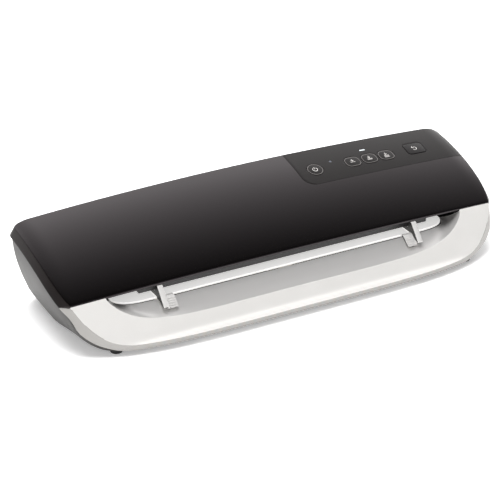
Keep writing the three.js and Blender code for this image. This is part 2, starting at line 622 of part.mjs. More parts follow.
for (const side of [-1, 1]) {
  const middle = side * FRAME_X;
  const flange = [middle - side * 12, middle - side * 0.5].sort((a, b) => a - b);
  let frame = join(bar(FRAME, middle - FRAME_HALF, middle + FRAME_HALF),
    block([flange[0], 26, BASE_TOP + GAP], [flange[1], 106, BASE_TOP + GAP + 1.6]));
  for (const depth of Object.values(NIPS)) {
    for (const z of Object.values(LEVELS)) {
      frame = cut(frame, rod(SHAFT_R + RUN, depth, z, middle - 5, middle + 5));
    }
  }
  piece(side < 0 ? 'frame_left' : 'frame_right', frame, STEEL);
}

const PLATE = [IDLER_DEPTH - 7, IDLER_DEPTH + 7];
piece('heater_plate_lower', block([-ROLLER_HALF, PLATE[0], 34], [ROLLER_HALF, PLATE[1], PATH_Z - 1.7]), ALLOY);
piece('heater_plate_upper', block([-ROLLER_HALF, PLATE[0], PATH_Z + 1.7], [ROLLER_HALF, PLATE[1], 48.5]), ALLOY);
piece('heat_shield', bar([[34, 60], [35, 60], [35, 65], [95, 65], [95, 60], [96, 60], [96, 66], [34, 66]],
  GAP + FRAME_HALF - FRAME_X, FRAME_X - FRAME_HALF - GAP), STEEL);

// ---- rollers and their gear train ----
// A tooth of each lower gear points up, into a gap of the gear above it.
const toothUp = HALF_PI;
const gapDown = -HALF_PI + Math.PI / ROLLER_TEETH;
for (const [place, depth] of Object.entries(NIPS)) {
  for (const [level, z] of Object.entries(LEVELS)) {
    const sleeve = cut(rod(ROLLER_R, depth, z, -ROLLER_HALF, ROLLER_HALF, 24),
      rod(SHAFT_R + GAP, depth, z, -ROLLER_HALF - 1, ROLLER_HALF + 1));
    piece(`roller_${place}_${level}`, sleeve, SILICONE);
    piece(`shaft_${place}_${level}`, rod(SHAFT_R, depth, z, -184, GEAR_X + GEAR_WIDE + 1), STEEL);
    const phase = level === 'lower' ? toothUp : gapDown;
    piece(`gear_${place}_${level}`, gear(ROLLER_TEETH, phase, SHAFT_R + GAP, depth, z), NYLON);
  }
}

const STUD = 3;
const frameFace = FRAME_X + FRAME_HALF + GAP;
piece('idler_gear', gear(IDLER_TEETH, 0, STUD + RUN, IDLER_DEPTH, LOWER_Z), NYLON);
piece('idler_stud', join(rod(STUD, IDLER_DEPTH, LOWER_Z, frameFace, 188),
  rod(5, IDLER_DEPTH, LOWER_Z, frameFace, GEAR_X - GAP)), STEEL);

const MOTOR_SHAFT = 2;
const MOTOR_FACE = 189;
piece('motor_pinion', join(gear(PINION_TEETH, -HALF_PI, 0, IDLER_DEPTH, MOTOR_Z),
  rod(MOTOR_SHAFT, IDLER_DEPTH, MOTOR_Z, GEAR_X + GEAR_WIDE - 0.5, 198, 16)), STEEL);
const motorMount = bar(roundedRect(30, 60, 5).map(([a, b]) => [IDLER_DEPTH + a, 38 + b]), MOTOR_FACE, MOTOR_FACE + 3);
const standoffs = [12, 62].map((z) => rod(2.5, IDLER_DEPTH, z, frameFace, MOTOR_FACE + 0.5, 10));
const can = rod(21, IDLER_DEPTH, MOTOR_Z, MOTOR_FACE + 2.5, 232, 24);
piece('gear_motor', cut(join(motorMount, can, ...standoffs),
  rod(MOTOR_SHAFT + 0.3, IDLER_DEPTH, MOTOR_Z, MOTOR_FACE - 1, 200, 16)), STEEL);

// Tension springs draw each pair of shafts together, outside the left frame.
const SPRING_X = -180;
const SPRING_R = 2.6;
const WIRE_R = 0.5;
class Coil extends THREE.Curve {
  constructor(depth) {
    super();
    this.depth = depth;
  }

  getPoint(t, target = new THREE.Vector3()) {
    const angle = t * 4 * 2 * Math.PI;
    const z = lerp(LOWER_Z + SHAFT_R + 1, UPPER_Z - SHAFT_R - 1, t);
    return target.set(SPRING_X + SPRING_R * Math.cos(angle), FRONT_Y + this.depth + SPRING_R * Math.sin(angle), z);
  }
}
for (const [place, depth] of Object.entries(NIPS)) {
  const wire = new THREE.Shape(ring(WIRE_R, 5).map(([a, b]) => new THREE.Vector2(a, b)));
  const geometry = new THREE.ExtrudeGeometry(wire, { steps: 32, extrudePath: new Coil(depth), bevelEnabled: false });
  piece(`spring_${place}`, toSolid(geometry), STEEL);
}

export default group;
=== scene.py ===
import math

import bmesh
import bpy
import numpy as np
from mathutils import Matrix, Vector


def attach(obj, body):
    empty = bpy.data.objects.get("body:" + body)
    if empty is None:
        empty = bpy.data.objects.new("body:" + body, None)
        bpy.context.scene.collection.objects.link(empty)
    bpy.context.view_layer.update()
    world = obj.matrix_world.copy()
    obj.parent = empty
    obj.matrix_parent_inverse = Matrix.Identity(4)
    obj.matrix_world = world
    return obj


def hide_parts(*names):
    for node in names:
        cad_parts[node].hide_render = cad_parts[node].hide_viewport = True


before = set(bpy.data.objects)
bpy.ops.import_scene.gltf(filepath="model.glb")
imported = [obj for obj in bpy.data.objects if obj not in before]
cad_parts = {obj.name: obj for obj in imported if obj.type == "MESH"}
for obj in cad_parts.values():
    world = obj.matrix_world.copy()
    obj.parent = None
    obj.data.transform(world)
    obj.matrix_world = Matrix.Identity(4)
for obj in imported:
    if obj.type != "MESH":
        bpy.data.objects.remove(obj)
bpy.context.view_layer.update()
scene = bpy.context.scene

# ---- The camera, the room's light and the table ----
# A long lens looks down on the machine from its front left. The room is a white studio whose
# ceiling is dark straight overhead, which is what draws the cover's black front edge.
MM = 0.001
TURN = math.radians(28.49)
DIP = math.radians(27.2)
AIM = Vector((0, -41, 52))
STAND_OFF = Vector((40.91, -1.58, 1978.8))   # right, up and ahead of the eye, in mm

ahead = Vector((math.sin(TURN) * math.cos(DIP), math.cos(TURN) * math.cos(DIP), -math.sin(DIP)))
right = Vector((math.cos(TURN), -math.sin(TURN), 0))
above = right.cross(ahead)
eye = AIM - (right * STAND_OFF.x + above * STAND_OFF.y + ahead * STAND_OFF.z)
lens = bpy.data.cameras.new("studio_camera")
lens.lens = 140.15
lens.sensor_width = 36
camera = bpy.data.objects.new("studio_camera", lens)
camera.matrix_world = Matrix.Translation(eye * MM) @ Matrix((right, above, -ahead)).transposed().to_4x4()
scene.collection.objects.link(camera)
scene.camera = camera
scene.view_settings.view_transform = "Standard"


class Wire:
    """A socket that carries a number, with the sums that the patterns need."""

    def __init__(self, web, socket):
        self.web, self.socket = web, socket

    def sum_of(self, operation, *terms):
        return self.web.node("ShaderNodeMath", {"operation": operation}, dict(enumerate(terms)))

    def __add__(self, other):
        return self.sum_of("ADD", self, other)

    def __sub__(self, other):
        return self.sum_of("SUBTRACT", self, other)

    def __rsub__(self, other):
        return self.sum_of("SUBTRACT", other, self)

    def __mul__(self, other):
        return self.sum_of("MULTIPLY", self, other)

    def __pow__(self, other):
        return self.sum_of("POWER", self, other)

    __radd__, __rmul__ = __add__, __mul__

    def kept(self):
        """The same number, held between 0 and 1."""
        return self.web.node("ShaderNodeClamp", {}, {"Value": self})


class Web:
    """A tree of nodes, for a finish or for a shape."""

    def __init__(self, tree):
        self.tree = tree

    def node(self, kind, settings, values, output=0):
        made = self.tree.nodes.new(kind)
        for key, value in settings.items():
            if key == "stops":
                ramp = made.color_ramp.elements
                while len(ramp) < len(value):
                    ramp.new(1)
                for stop, (place, colour) in zip(ramp, value):
                    stop.position, stop.color = place, (*colour, 1)
            else:
                setattr(made, key, value)
        for key, value in values.items():
            self.join(value, made.inputs[key])
        return Wire(self, made.outputs[output])

    def join(self, value, socket):
        for part in value if isinstance(value, list) else [value]:
            if isinstance(part, Wire):
                self.tree.links.new(part.socket, socket)
            elif socket.type == "RGBA":
                socket.default_value = (*part, 1)
            else:
                socket.default_value = part


BACK_WAY, LEFT_WAY = (0.42, 0.907, 0.0), (-0.879, 0.477, 0.0)    # where the back and left walls stand
BACK_RISE, BACK_FALL, BACK_GLOW = 1.414, 1.6, 1.8    # a wall's rise is how fast it brightens
NEAR_START, NEAR_RISE, NEAR_GLOW = -0.16, 2.2, 0.5
SIDE_START, SIDE_RISE, SIDE_GLOW = 0.35, 1.6, 0.2
FLOOR_START, FLOOR_RISE, FLOOR_GLOW = 0.12, 8, 1.5
CEILING = 0.02
ROOM_TINT = (1.0, 0.985, 0.985)
world = bpy.data.worlds.new("studio_room")
world.use_nodes = True
scene.world = world
room = Web(world.node_tree)
direction = room.node("ShaderNodeTexCoord", {}, {}, "Generated")
behind = room.node("ShaderNodeVectorMath", {"operation": "DOT_PRODUCT"},
                   {0: direction, 1: BACK_WAY}, "Value")
back_wall = (behind * BACK_RISE).kept() ** BACK_FALL * BACK_GLOW
near_wall = ((NEAR_START - behind) * NEAR_RISE).kept() * NEAR_GLOW
height = room.node("ShaderNodeSeparateXYZ", {}, {"Vector": direction}, "Z")
left_wall = room.node("ShaderNodeVectorMath", {"operation": "DOT_PRODUCT"},
                      {0: direction, 1: LEFT_WAY}, "Value")
side_wall = ((left_wall - SIDE_START) * SIDE_RISE).kept() * SIDE_GLOW
floor_glow = ((FLOOR_START - height) * FLOOR_RISE).kept() * FLOOR_GLOW
walls = back_wall + near_wall + side_wall + CEILING
glow = room.node("ShaderNodeMath", {"operation": "MAXIMUM"}, {0: walls, 1: floor_glow})
room.join(glow, world.node_tree.nodes["Background"].inputs["Strength"])
room.join(ROOM_TINT, world.node_tree.nodes["Background"].inputs["Color"])


def soft_box(name, place, size, watts, in_gloss):
    """A square lamp that faces the machine. Out of the gloss, it lights but isn't mirrored."""
    lamp = bpy.data.lights.new(name, "AREA")
    lamp.energy, lamp.size = watts, size
    holder = bpy.data.objects.new(name, lamp)
    aim = Vector((0, 0, 0.05)) - Vector(place)
    holder.matrix_world = Matrix.Translation(place) @ aim.to_track_quat("-Z", "Y").to_matrix().to_4x4()
    holder.visible_glossy = in_gloss
    scene.collection.objects.link(holder)


soft_box("key_lamp", (-0.2, 0.1, 2.1), 1.3, 62, False)
soft_box("front_lamp", (0.1, -2.0, 0.42), 0.8, 4, False)

TABLE_HALF = 15          # in metres
table_mesh = bpy.data.meshes.new("table")
table_corners = [(x * TABLE_HALF, y * TABLE_HALF, 0) for x, y in ((-1, -1), (1, -1), (1, 1), (-1, 1))]
table_mesh.from_pydata(table_corners, [], [(0, 1, 2, 3)])
table = bpy.data.objects.new("table", table_mesh)
scene.collection.objects.link(table)
paper = bpy.data.materials.new("white_paper")
paper.use_nodes = True
paper_look = paper.node_tree.nodes["Principled BSDF"].inputs
paper_look["Base Color"].default_value = (0.93, 0.93, 0.93, 1)
paper_look["Roughness"].default_value = 0.9
paper_look["Emission Color"].default_value = (1, 1, 1, 1)
paper_look["Emission Strength"].default_value = 0.3
table_mesh.materials.append(paper)

# ---- Top cover ----
# One glossy black ABS moulding, bowed from front to back and crowned from end to end. A bevel
# runs round its ends and back; the front edge rolls over into a thin lip above the slot.
FRONT_Y = -41            # the cover's front edge; depth counts back from it
COVER_BACK = 120
COVER_CORNER = 5         # the two rear corners, in plan
SEAM_RUN = 10            # the bevel's front end slants back by this, over the tray's band
COVER_WALL = 2.5
BEVEL_OUT, BEVEL_DOWN = 5, 9
EDGE_ROUND = 1.0
LIP_ROUND = 1.1
QUARTER = math.pi / 2


def edge_x(depth):
    return 244 + 8 * (1 - np.exp(-np.maximum(depth, -2) / 20))


def face_z(x, depth):
    """Height of the cover's face: an arc in depth, less a crown across and soft shoulders."""
    start = math.sin(math.radians(32.4))
    arc = 313.5 * (np.sqrt(1 - (start - depth / 313.5) ** 2) - math.sqrt(1 - start ** 2))
    crown = (3 + 4.93 * depth / 120) * (x / 251) ** 2
    shoulder = np.clip((np.abs(x) - 235) / 16, 0, 1) ** 2
    return 54.85 + arc - crown - 3.4 * depth / 120 * shoulder


def mix(a, b, t):
    return a + (b - a) * t


def turn_over(start, corner, end, steps):
    """Points of the soft curve that rounds a corner."""
    t = np.linspace(0, 1, steps + 1)[:, None]
    return (1 - t) ** 2 * np.array(start) + 2 * t * (1 - t) * np.array(corner) + t ** 2 * np.array(end)


def strip(first, second):
    """Quads between two rows of vertex numbers."""
    return [(first[i], first[i + 1], second[i + 1], second[i]) for i in range(len(first) - 1)]


def build(name, points, faces):
    """A mesh object from points in mm, welded, with its faces pointing out."""
    mesh = bpy.data.meshes.new(name)
    mesh.from_pydata((np.asarray(points, float) * MM).tolist(), [], [tuple(map(int, f)) for f in faces])
    work = bmesh.new()
    work.from_mesh(mesh)
    bmesh.ops.remove_doubles(work, verts=work.verts, dist=2e-6)
    bmesh.ops.recalc_face_normals(work, faces=work.faces)
    work.to_mesh(mesh)
    work.free()
    made = bpy.data.objects.new(name, mesh)
    scene.collection.objects.link(made)
    return made


def shell(name, outer, inner):
    """A closed wall between two grids of points of the same size, rows by columns."""
    rows, columns = outer.shape[:2]
    index = np.arange(rows * columns).reshape(rows, columns)
    below = index + rows * columns
    faces = []
    for layer in (index, below):
        for r in range(rows - 1):
            faces += strip(layer[r], layer[r + 1])
    for side in (lambda n: n[0], lambda n: n[-1], lambda n: n[:, 0], lambda n: n[:, -1]):
        faces += strip(side(index), side(below))
    return build(name, np.concatenate([outer.reshape(-1, 3), inner.reshape(-1, 3)]), faces)


def settle(piece):
    """Makes the modifiers' result the piece's own mesh."""
    graph = bpy.context.evaluated_depsgraph_get()
    mesh = bpy.data.meshes.new_from_object(piece.evaluated_get(graph))
    piece.modifiers.clear()
    piece.data = mesh


def cut_away(piece, *cutters):
    for cutter in cutters:
        knife = piece.modifiers.new("cut", "BOOLEAN")
        knife.operation, knife.solver, knife.object = "DIFFERENCE", "EXACT", cutter
    settle(piece)
    for cutter in cutters:
        bpy.data.objects.remove(cutter)


def soften(piece, width, angle=40, steps=2):
    """Breaks the sharp edges of a piece by a small round."""
    bevel = piece.modifiers.new("soften", "BEVEL")
    bevel.width, bevel.segments = width * MM, steps
    bevel.limit_method, bevel.angle_limit = "ANGLE", math.radians(angle)
    bevel.harden_normals = False
    settle(piece)


def dress(piece, finish, body, slot, *nodes, crease=32):
    """Gives a piece its finish and its place in the machine."""
    piece.data.materials.clear()
    piece.data.materials.append(finish)
    piece.data.shade_smooth()
    piece.data.set_sharp_from_angle(angle=math.radians(crease))
    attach(piece, body)
    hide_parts(*nodes)


def repaint(piece, finish, chosen):
    """Gives the chosen faces of a piece a second finish."""
    piece.data.materials.append(finish)
    for face in piece.data.polygons:
        if chosen(face.center, face.normal):
            face.material_index = len(piece.data.materials) - 1


def plastic(name, colour, roughness, mottle=0.12, grain=1800, relief=0.012, tint=None, metal=0.0,
            rough_swing=0.06, sweep=45, sheen=0.5):
    """A moulded plastic: uneven colour and polish, over the fine grain of its tool."""
    material = bpy.data.materials.new(name)
    material.use_nodes = True
    web = Web(material.node_tree)
    look = material.node_tree.nodes["Principled BSDF"].inputs
    place = web.node("ShaderNodeTexCoord", {}, {}, "Object")
    cloud = web.node("ShaderNodeTexNoise", {}, {"Vector": place, "Scale": sweep, "Detail": 3.0})
    speck = web.node("ShaderNodeTexNoise", {}, {"Vector": place, "Scale": grain, "Detail": 2.0})
    shade = (cloud * 0.6 + speck * 0.4).kept()
    low = tuple(c * (1 - mottle) for c in colour)
    high = tuple(min(c * (1 + mottle), 1) for c in colour)
    web.join(web.node("ShaderNodeMix", {"data_type": "RGBA"}, {"Factor": shade, 6: low, 7: high}, 2),
             look["Base Color"])
    polish = cloud * rough_swing + speck * rough_swing + (roughness - rough_swing)
    web.join(polish.kept(), look["Roughness"])
    bump = web.node("ShaderNodeBump", {}, {"Height": speck, "Strength": 1.0, "Distance": relief * MM})
    web.join(bump, look["Normal"])
    look["Metallic"].default_value = metal
    look["Specular IOR Level"].default_value = sheen
    if tint:
        look["Specular Tint"].default_value = (*tint, 1)
    return material


cover_gloss = plastic("cover_gloss", (0.0013, 0.0011, 0.0011), 0.13, mottle=0.15, grain=260, relief=0.0015,
                      tint=(1.0, 0.9, 0.94), rough_swing=0.03, sweep=18)

lip = turn_over((0, LIP_ROUND), (0, 0), (LIP_ROUND, 0), 6)
cover_rows = [(0.5, 2.5, 0), (0.1, 2.35, 0), (0, 2.0, 0)] + [(depth, drop, 0) for depth, drop in lip]
cover_rows += [(depth, 0, 0) for depth in np.linspace(LIP_ROUND, COVER_BACK - COVER_CORNER, 44)[1:]]
cover_rows += [(COVER_BACK - COVER_CORNER + (COVER_CORNER - EDGE_ROUND) * math.sin(turn), 0, turn)
               for turn in np.linspace(0, QUARTER, 13)[1:]]
COLUMNS = np.linspace(-1, 1, 131)


def cover_skin(sink):
    """The face and the bevel round three of its sides, at the outside or sunk by the wall."""
    grid = []
    for depth, drop, turn in cover_rows:
        if sink:
            depth, drop = max(depth, 0.9) - (sink if turn == QUARTER else 0), 0
        half = edge_x(depth) - COVER_CORNER + (COVER_CORNER - EDGE_ROUND) * math.cos(turn) - sink
        x = COLUMNS * half
        grid.append(np.stack([x, np.full_like(x, FRONT_Y + depth), face_z(x, depth) - drop - sink], 1))
    grid = np.array(grid)
    turns = np.array([row[2] for row in cover_rows])
    drops = np.array([0 if sink else row[1] for row in cover_rows])
    last = len(cover_rows) - 1
    path = [(r, 0) for r in range(last)] + [(last, c) for c in range(len(COLUMNS))]
    path += [(r, len(COLUMNS) - 1) for r in range(last - 1, -1, -1)]
    out = np.array([[np.sign(COLUMNS[c]) * math.cos(turns[r]), math.sin(turns[r])] for r, c in path])
    start = np.array([grid[r, c] for r, c in path])
    drop = np.array([drops[r] for r, _ in path])
    corner = start.copy()
    corner[:, :2] += out * (EDGE_ROUND + sink)
    corner[:, 2] = face_z(corner[:, 0], corner[:, 1] - FRONT_Y) - drop
    slope = math.hypot(BEVEL_OUT, BEVEL_DOWN)
    lag = np.array([max(1 - max(cover_rows[r][0], 0) / (3 * SEAM_RUN), 0) if abs(turns[r]) < 0.01 else 0
                    for r, _ in path])

    def on_bevel(run, inward=0):
        share = run / slope
        place = corner.copy()
        back = SEAM_RUN * share * lag
        spread = edge_x(place[:, 1] - FRONT_Y + back) - edge_x(place[:, 1] - FRONT_Y)
        place[:, 0] += np.sign(place[:, 0]) * spread
        level = face_z(corner[:, 0], corner[:, 1] - FRONT_Y)
        rise = face_z(place[:, 0], place[:, 1] - FRONT_Y + back) - level
        place[:, 1] += back
        place[:, :2] += out * (BEVEL_OUT * share - inward)
        place[:, 2] += rise + drop * share - BEVEL_DOWN * share
        return place

    if sink:
        foot = on_bevel(slope, sink)
        rows = [mix(start, foot, t) for t in np.linspace(0, 1, 13)[1:]]
    else:
        bend = turn_over(start.ravel(), corner.ravel(), on_bevel(EDGE_ROUND).ravel(), 5)
        rows = [line.reshape(-1, 3) for line in bend[1:]]
        rows += [on_bevel(run) for run in np.linspace(EDGE_ROUND, slope - 0.6, 5)[1:]]
        rows += [on_bevel(slope - 0.2, 0.05), on_bevel(slope - 0.05, 0.3), on_bevel(slope, 0.7)]
    return grid, [r * len(COLUMNS) + c for r, c in path], rows


def cover_faces(grid, path, rows, base):
    """The points and faces of one skin, its front row, and its lines from the rim down."""
    size = grid.shape[0] * grid.shape[1]
    index = np.arange(size).reshape(grid.shape[:2]) + base
    faces = [face for r in range(grid.shape[0] - 1) for face in strip(index[r], index[r + 1])]
    lines = [[base + i for i in path]]
    for k in range(len(rows)):
        begin = base + size + k * len(path)
        lines.append(list(range(begin, begin + len(path))))
    for above_line, below_line in zip(lines, lines[1:]):
        faces += strip(above_line, below_line)
    points = np.concatenate([grid.reshape(-1, 3), *rows])
    return points, faces, index[0], lines


outer_points, outer_faces, outer_front, outer_lines = cover_faces(*cover_skin(0), 0)
inner_skin = cover_skin(COVER_WALL)
inner_points, inner_faces, inner_front, inner_lines = cover_faces(*inner_skin, len(outer_points))
rim_faces = strip(outer_lines[-1], inner_lines[-1]) + strip(outer_front, inner_front)
for end in (0, -1):
    rim_faces += strip([line[end] for line in outer_lines], [line[end] for line in inner_lines])
top_cover = build("cover_shell", np.concatenate([outer_points, inner_points]),
                  outer_faces + inner_faces + rim_faces)

# ---- Control panel ----
# A thin matte plate let into a pocket of the cover, flush with it, from a rounded front corner
# to the cover's right-hand edge. A fine gap shows all round it.
PANEL_LEFT, PANEL_FRONT, PANEL_BACK = 57, 64, 118.5
PANEL_CORNER = 13
PANEL_GAP = 0.35
POCKET_DEEP = 1.2
PANEL_BLACK = (0.009, 0.0076, 0.0074)
BACK_CORNER = 6


def panel_slab(name, inset, low, high):
    """The panel's outline, shrunk by an inset, filled from one height off the face to another."""
    rows = []
    for turn in np.linspace(0, QUARTER, 12):
        round_by = PANEL_CORNER - inset
        rows.append((PANEL_FRONT + inset + round_by * (1 - math.cos(turn)),
                     PANEL_LEFT + inset + round_by * (1 - math.sin(turn)), 0))
    straight = np.linspace(PANEL_FRONT + PANEL_CORNER, PANEL_BACK - BACK_CORNER, 9)[1:]
    arc = [(PANEL_BACK - BACK_CORNER + (BACK_CORNER - inset) * math.sin(turn), turn)
           for turn in np.linspace(0, QUARTER, 10)[1:]]
    for depth, turn in [(depth, 0) for depth in straight] + arc:
        rows.append((depth, PANEL_LEFT + inset, turn))
    skins = []
    for level in (high, low):
        grid = []
        for depth, left_x, turn in rows:
            right_x = edge_x(depth) - 2 - BACK_CORNER + (BACK_CORNER - inset) * math.cos(turn)
            x = np.linspace(left_x, right_x, 61)
            grid.append(np.stack([x, np.full_like(x, FRONT_Y + depth), face_z(x, depth) + level], 1))
        skins.append(np.array(grid))
    return shell(name, *skins)


cut_away(top_cover, panel_slab("pocket", 0, -POCKET_DEEP, 5))
control_panel = panel_slab("panel_plate", PANEL_GAP, 0.4 - POCKET_DEEP, 0)

# ---- Keys ----
# Five push keys of the panel's own matte plastic, each on a stem down to its switch. A round
# power key, three film thickness keys and a darker, glossier reverse key.
KEY_TOP, KEY_LOW = 0.3, -4.4
KEY_GAP, LAMP_GAP = 0.35, 0.15
KEY_LINE = 85            # the depth of the row of keys
BOARD_TOP = 75.6


def face_frame(x, depth):
    """A frame on the cover's face: right, back and out of the face, in mm."""
    step = 0.5
    dx = (face_z(x + step, depth) - face_z(x - step, depth)) / (2 * step)
    dy = (face_z(x, depth + step) - face_z(x, depth - step)) / (2 * step)
    out = Vector((-dx, -dy, 1)).normalized()
    along = Vector((1, 0, dx)).normalized()
    basis = Matrix((along, out.cross(along), out)).transposed().to_4x4()
    return Matrix.Translation((x, FRONT_Y + depth, face_z(x, depth))) @ basis


def circle(radius, steps=48):
    return [(radius * math.cos(i * 2 * math.pi / steps), radius * math.sin(i * 2 * math.pi / steps))
            for i in range(steps)]


def rounded(wide, deep, radius, steps=8):
    points = []
    for corner, (sx, sy) in enumerate([(1, 1), (-1, 1), (-1, -1), (1, -1)]):
        for i in range(steps + 1):
            angle = (corner + i / steps) * QUARTER
            points.append((sx * (wide / 2 - radius) + radius * math.cos(angle),
                           sy * (deep / 2 - radius) + radius * math.sin(angle)))
    return points


def drawn_in(outline, by):
    """An anticlockwise outline, moved inwards."""
    points = np.array(outline, float)
    edges = np.roll(points, -1, 0) - points
    edges /= np.linalg.norm(edges, axis=1)[:, None]
    inward = np.stack([-edges[:, 1], edges[:, 0]], 1)
    before = np.roll(inward, 1, 0)
    return points + by * (inward + before) / (1 + (inward * before).sum(1))[:, None]


def pushed(outline, low, high, top_round=0.0, low_round=0.0, steps=4):
    """A solid of one outline, (a, b) anticlockwise, from one height to another with rounded rims."""
    rings = [(low_round * (1 - math.cos(a)), low + low_round * (1 - math.sin(a)))
             for a in (np.linspace(QUARTER, 0, steps + 1) if low_round else [0])]
    rings += [(top_round * (1 - math.cos(a)), high - top_round * (1 - math.sin(a)))
              for a in (np.linspace(0, QUARTER, steps + 1) if top_round else [0])]
    count = len(outline)
    points = [(a, b, level) for inset, level in rings for a, b in drawn_in(outline, inset)]
    faces = [tuple(range(count)), tuple(range(len(points) - count, len(points)))]
    for k in range(len(rings) - 1):
        loop = [k * count + i for i in range(count)]
        loop.append(loop[0])
        faces += strip(loop, [i + count for i in loop])
    return points, faces


def together(*parts):
    """Several (points, faces) as one."""
    points, faces = [], []
    for more_points, more_faces in parts:
        faces += [tuple(i + len(points) for i in face) for face in more_faces]
        points += list(map(tuple, more_points))
    return points, faces


def placed(matrix, part):
    points, faces = part
    return [tuple(matrix @ Vector(point)) for point in points], faces


def film_key(grow):
    return rounded(18.4 + 2 * grow, 15.4 + 2 * grow, 6 + grow)


key_shapes = {
    "button_power": (78, KEY_LINE, lambda grow: circle(9 + grow)),
    **{f"button_thickness_{n}": (103.5 + 21 * n, KEY_LINE, film_key) for n in (1, 2, 3)},
    "button_reverse": (204, 87, lambda grow: rounded(23 + 2 * grow, 18 + 2 * grow, 4 + grow)),
}
lamp_shapes = {
    "lamp_ready": (101, 92.5, lambda grow: circle(1.4 + grow, 24)),
    "lamp_speed": (145.5, 100.5, lambda grow: rounded(7 + 2 * grow, 2 + 2 * grow, 0.95 + grow, 4)),
}


def window_cutter(name):
    """What cuts a hole for every key and lamp, with a gap round each."""
    holes = []
    for shapes, gap in ((key_shapes, KEY_GAP), (lamp_shapes, LAMP_GAP)):
        for x, depth, shape in shapes.values():
            holes.append(placed(face_frame(x, depth), pushed(shape(gap), -8, 4)))
    return build(name, *together(*holes))


cut_away(top_cover, window_cutter("cover_windows"))
dress(top_cover, cover_gloss, "housing", "cover_gloss", "top_cover", crease=38)
bevel_satin = plastic("bevel_satin", (0.0085, 0.007, 0.0068), 0.3, mottle=0.12, grain=900, relief=0.003,
                      tint=(1.0, 0.92, 0.92), sheen=0.32)
repaint(top_cover, bevel_satin, lambda middle, normal: normal.z < 0.8 and middle.z > 0.04
        and (abs(middle.x) > 0.243 or middle.y > 0.076))
cut_away(control_panel, window_cutter("panel_windows"))
soften(control_panel, 0.18, 50)
panel_matte = plastic("panel_matte", PANEL_BLACK, 0.4, mottle=0.1, grain=2600, relief=0.008, sheen=0.22)
dress(control_panel, panel_matte, "housing", "panel_matte", "control_panel")

key_matte = plastic("key_matte", PANEL_BLACK, 0.36, mottle=0.08, grain=2600, relief=0.006, sheen=0.22)
key_dark = plastic("key_dark", (0.008, 0.007, 0.0072), 0.26, mottle=0.1, grain=900, relief=0.002, sheen=0.2)
for name, (x, depth, shape) in key_shapes.items():
    dark = name == "button_reverse"
    reach = face_z(x, depth) - BOARD_TOP - 1.2
    cap = pushed(shape(0), KEY_LOW, KEY_TOP, 0.9 if dark else 0.45, 0.3)
    stem = pushed(circle(1.4, 16), -reach, KEY_LOW + 0.1, 0, 0.3)
    key = build(name + "_cap", *placed(face_frame(x, depth), together(cap, stem)))
    dress(key, key_dark if dark else key_matte, name + "_key", "key_dark" if dark else "key_matte", name)

# ---- Key marks ----
# Pale ink on the keys: a thin outline just inside each rim, and a plain sign in the middle.
# Each mark is a skin of ink that travels with its key.
INK_HIGH = 0.04
SIGN_LINE, SHEET_LINE, RIM_LINE = 0.6, 0.55, 0.5


def bead(path, width, closed=False):
    """A flat line of ink along (a, b) points."""
    line = np.array(path, float)
    ahead_of = np.roll(line, -1, 0) if closed else np.vstack([line[1:], 2 * line[-1:] - line[-2:-1]])
    behind = np.roll(line, 1, 0) if closed else np.vstack([2 * line[:1] - line[1:2], line[:-1]])
    along = ahead_of - behind
    along /= np.linalg.norm(along, axis=1)[:, None]
    side = np.stack([-along[:, 1], along[:, 0]], 1) * width / 2
    points = [(*p, z) for z in (KEY_TOP - 0.02, KEY_TOP + INK_HIGH) for p in [*(line - side), *(line + side)]]
    n = len(line)
    faces = []
    last = n if closed else n - 1
    for i in range(last):
        j = (i + 1) % n
        faces += [(i, j, n + j, n + i), (2 * n + i, 3 * n + i, 3 * n + j, 2 * n + j),
                  (i, 2 * n + i, 2 * n + j, j), (n + i, n + j, 3 * n + j, 3 * n + i)]
    if not closed:
        faces += [(i, n + i, 3 * n + i, 2 * n + i) for i in (0, n - 1)]
    return points, faces


def arc(radius, start, end, steps=28):
    angles = np.radians(np.linspace(start, end, steps + 1))
    return [(radius * math.cos(a), radius * math.sin(a)) for a in angles]


power_sign = [bead(arc(2.7, 125, 415), 0.62), bead([(0, 0.4), (0, 3.6)], 0.62)]
reverse_sign = [bead(arc(2.3, -150, 90) + [(-2.4, 2.3)], SIGN_LINE),
                bead([(-1.1, 3.7), (-2.7, 2.3), (-1.1, 0.9)], SIGN_LINE)]


def thickness_sign(sheets):
    """An arrow pressing down on one, two or three sheets."""
    marks = [bead([(0, 3.9), (0, 0.9)], SIGN_LINE), bead([(-1.5, 2.2), (0, 0.7), (1.5, 2.2)], SIGN_LINE)]
    marks += [bead([(-2.9, -0.6 - 1.3 * k), (2.9, -0.6 - 1.3 * k)], SHEET_LINE) for k in range(sheets)]
    return marks


signs = {"button_power": power_sign, "button_reverse": reverse_sign,
         **{f"button_thickness_{n}": thickness_sign(n) for n in (1, 2, 3)}}
sign_ink = plastic("sign_ink", (0.62, 0.60, 0.58), 0.6, mottle=0.08, relief=0.004)
rim_ink = plastic("rim_ink", (0.17, 0.16, 0.155), 0.6, mottle=0.1, relief=0.004)
for name, (x, depth, shape) in key_shapes.items():
    sign = build(name + "_sign", *placed(face_frame(x, depth), together(*signs[name])))
    dress(sign, sign_ink, name + "_key", None)
    if name != "button_reverse":
        outline = build(name + "_outline", *placed(face_frame(x, depth),
                        bead(drawn_in(shape(0), 0.75), RIM_LINE, closed=True)))
        dress(outline, rim_ink, name + "_key", None)

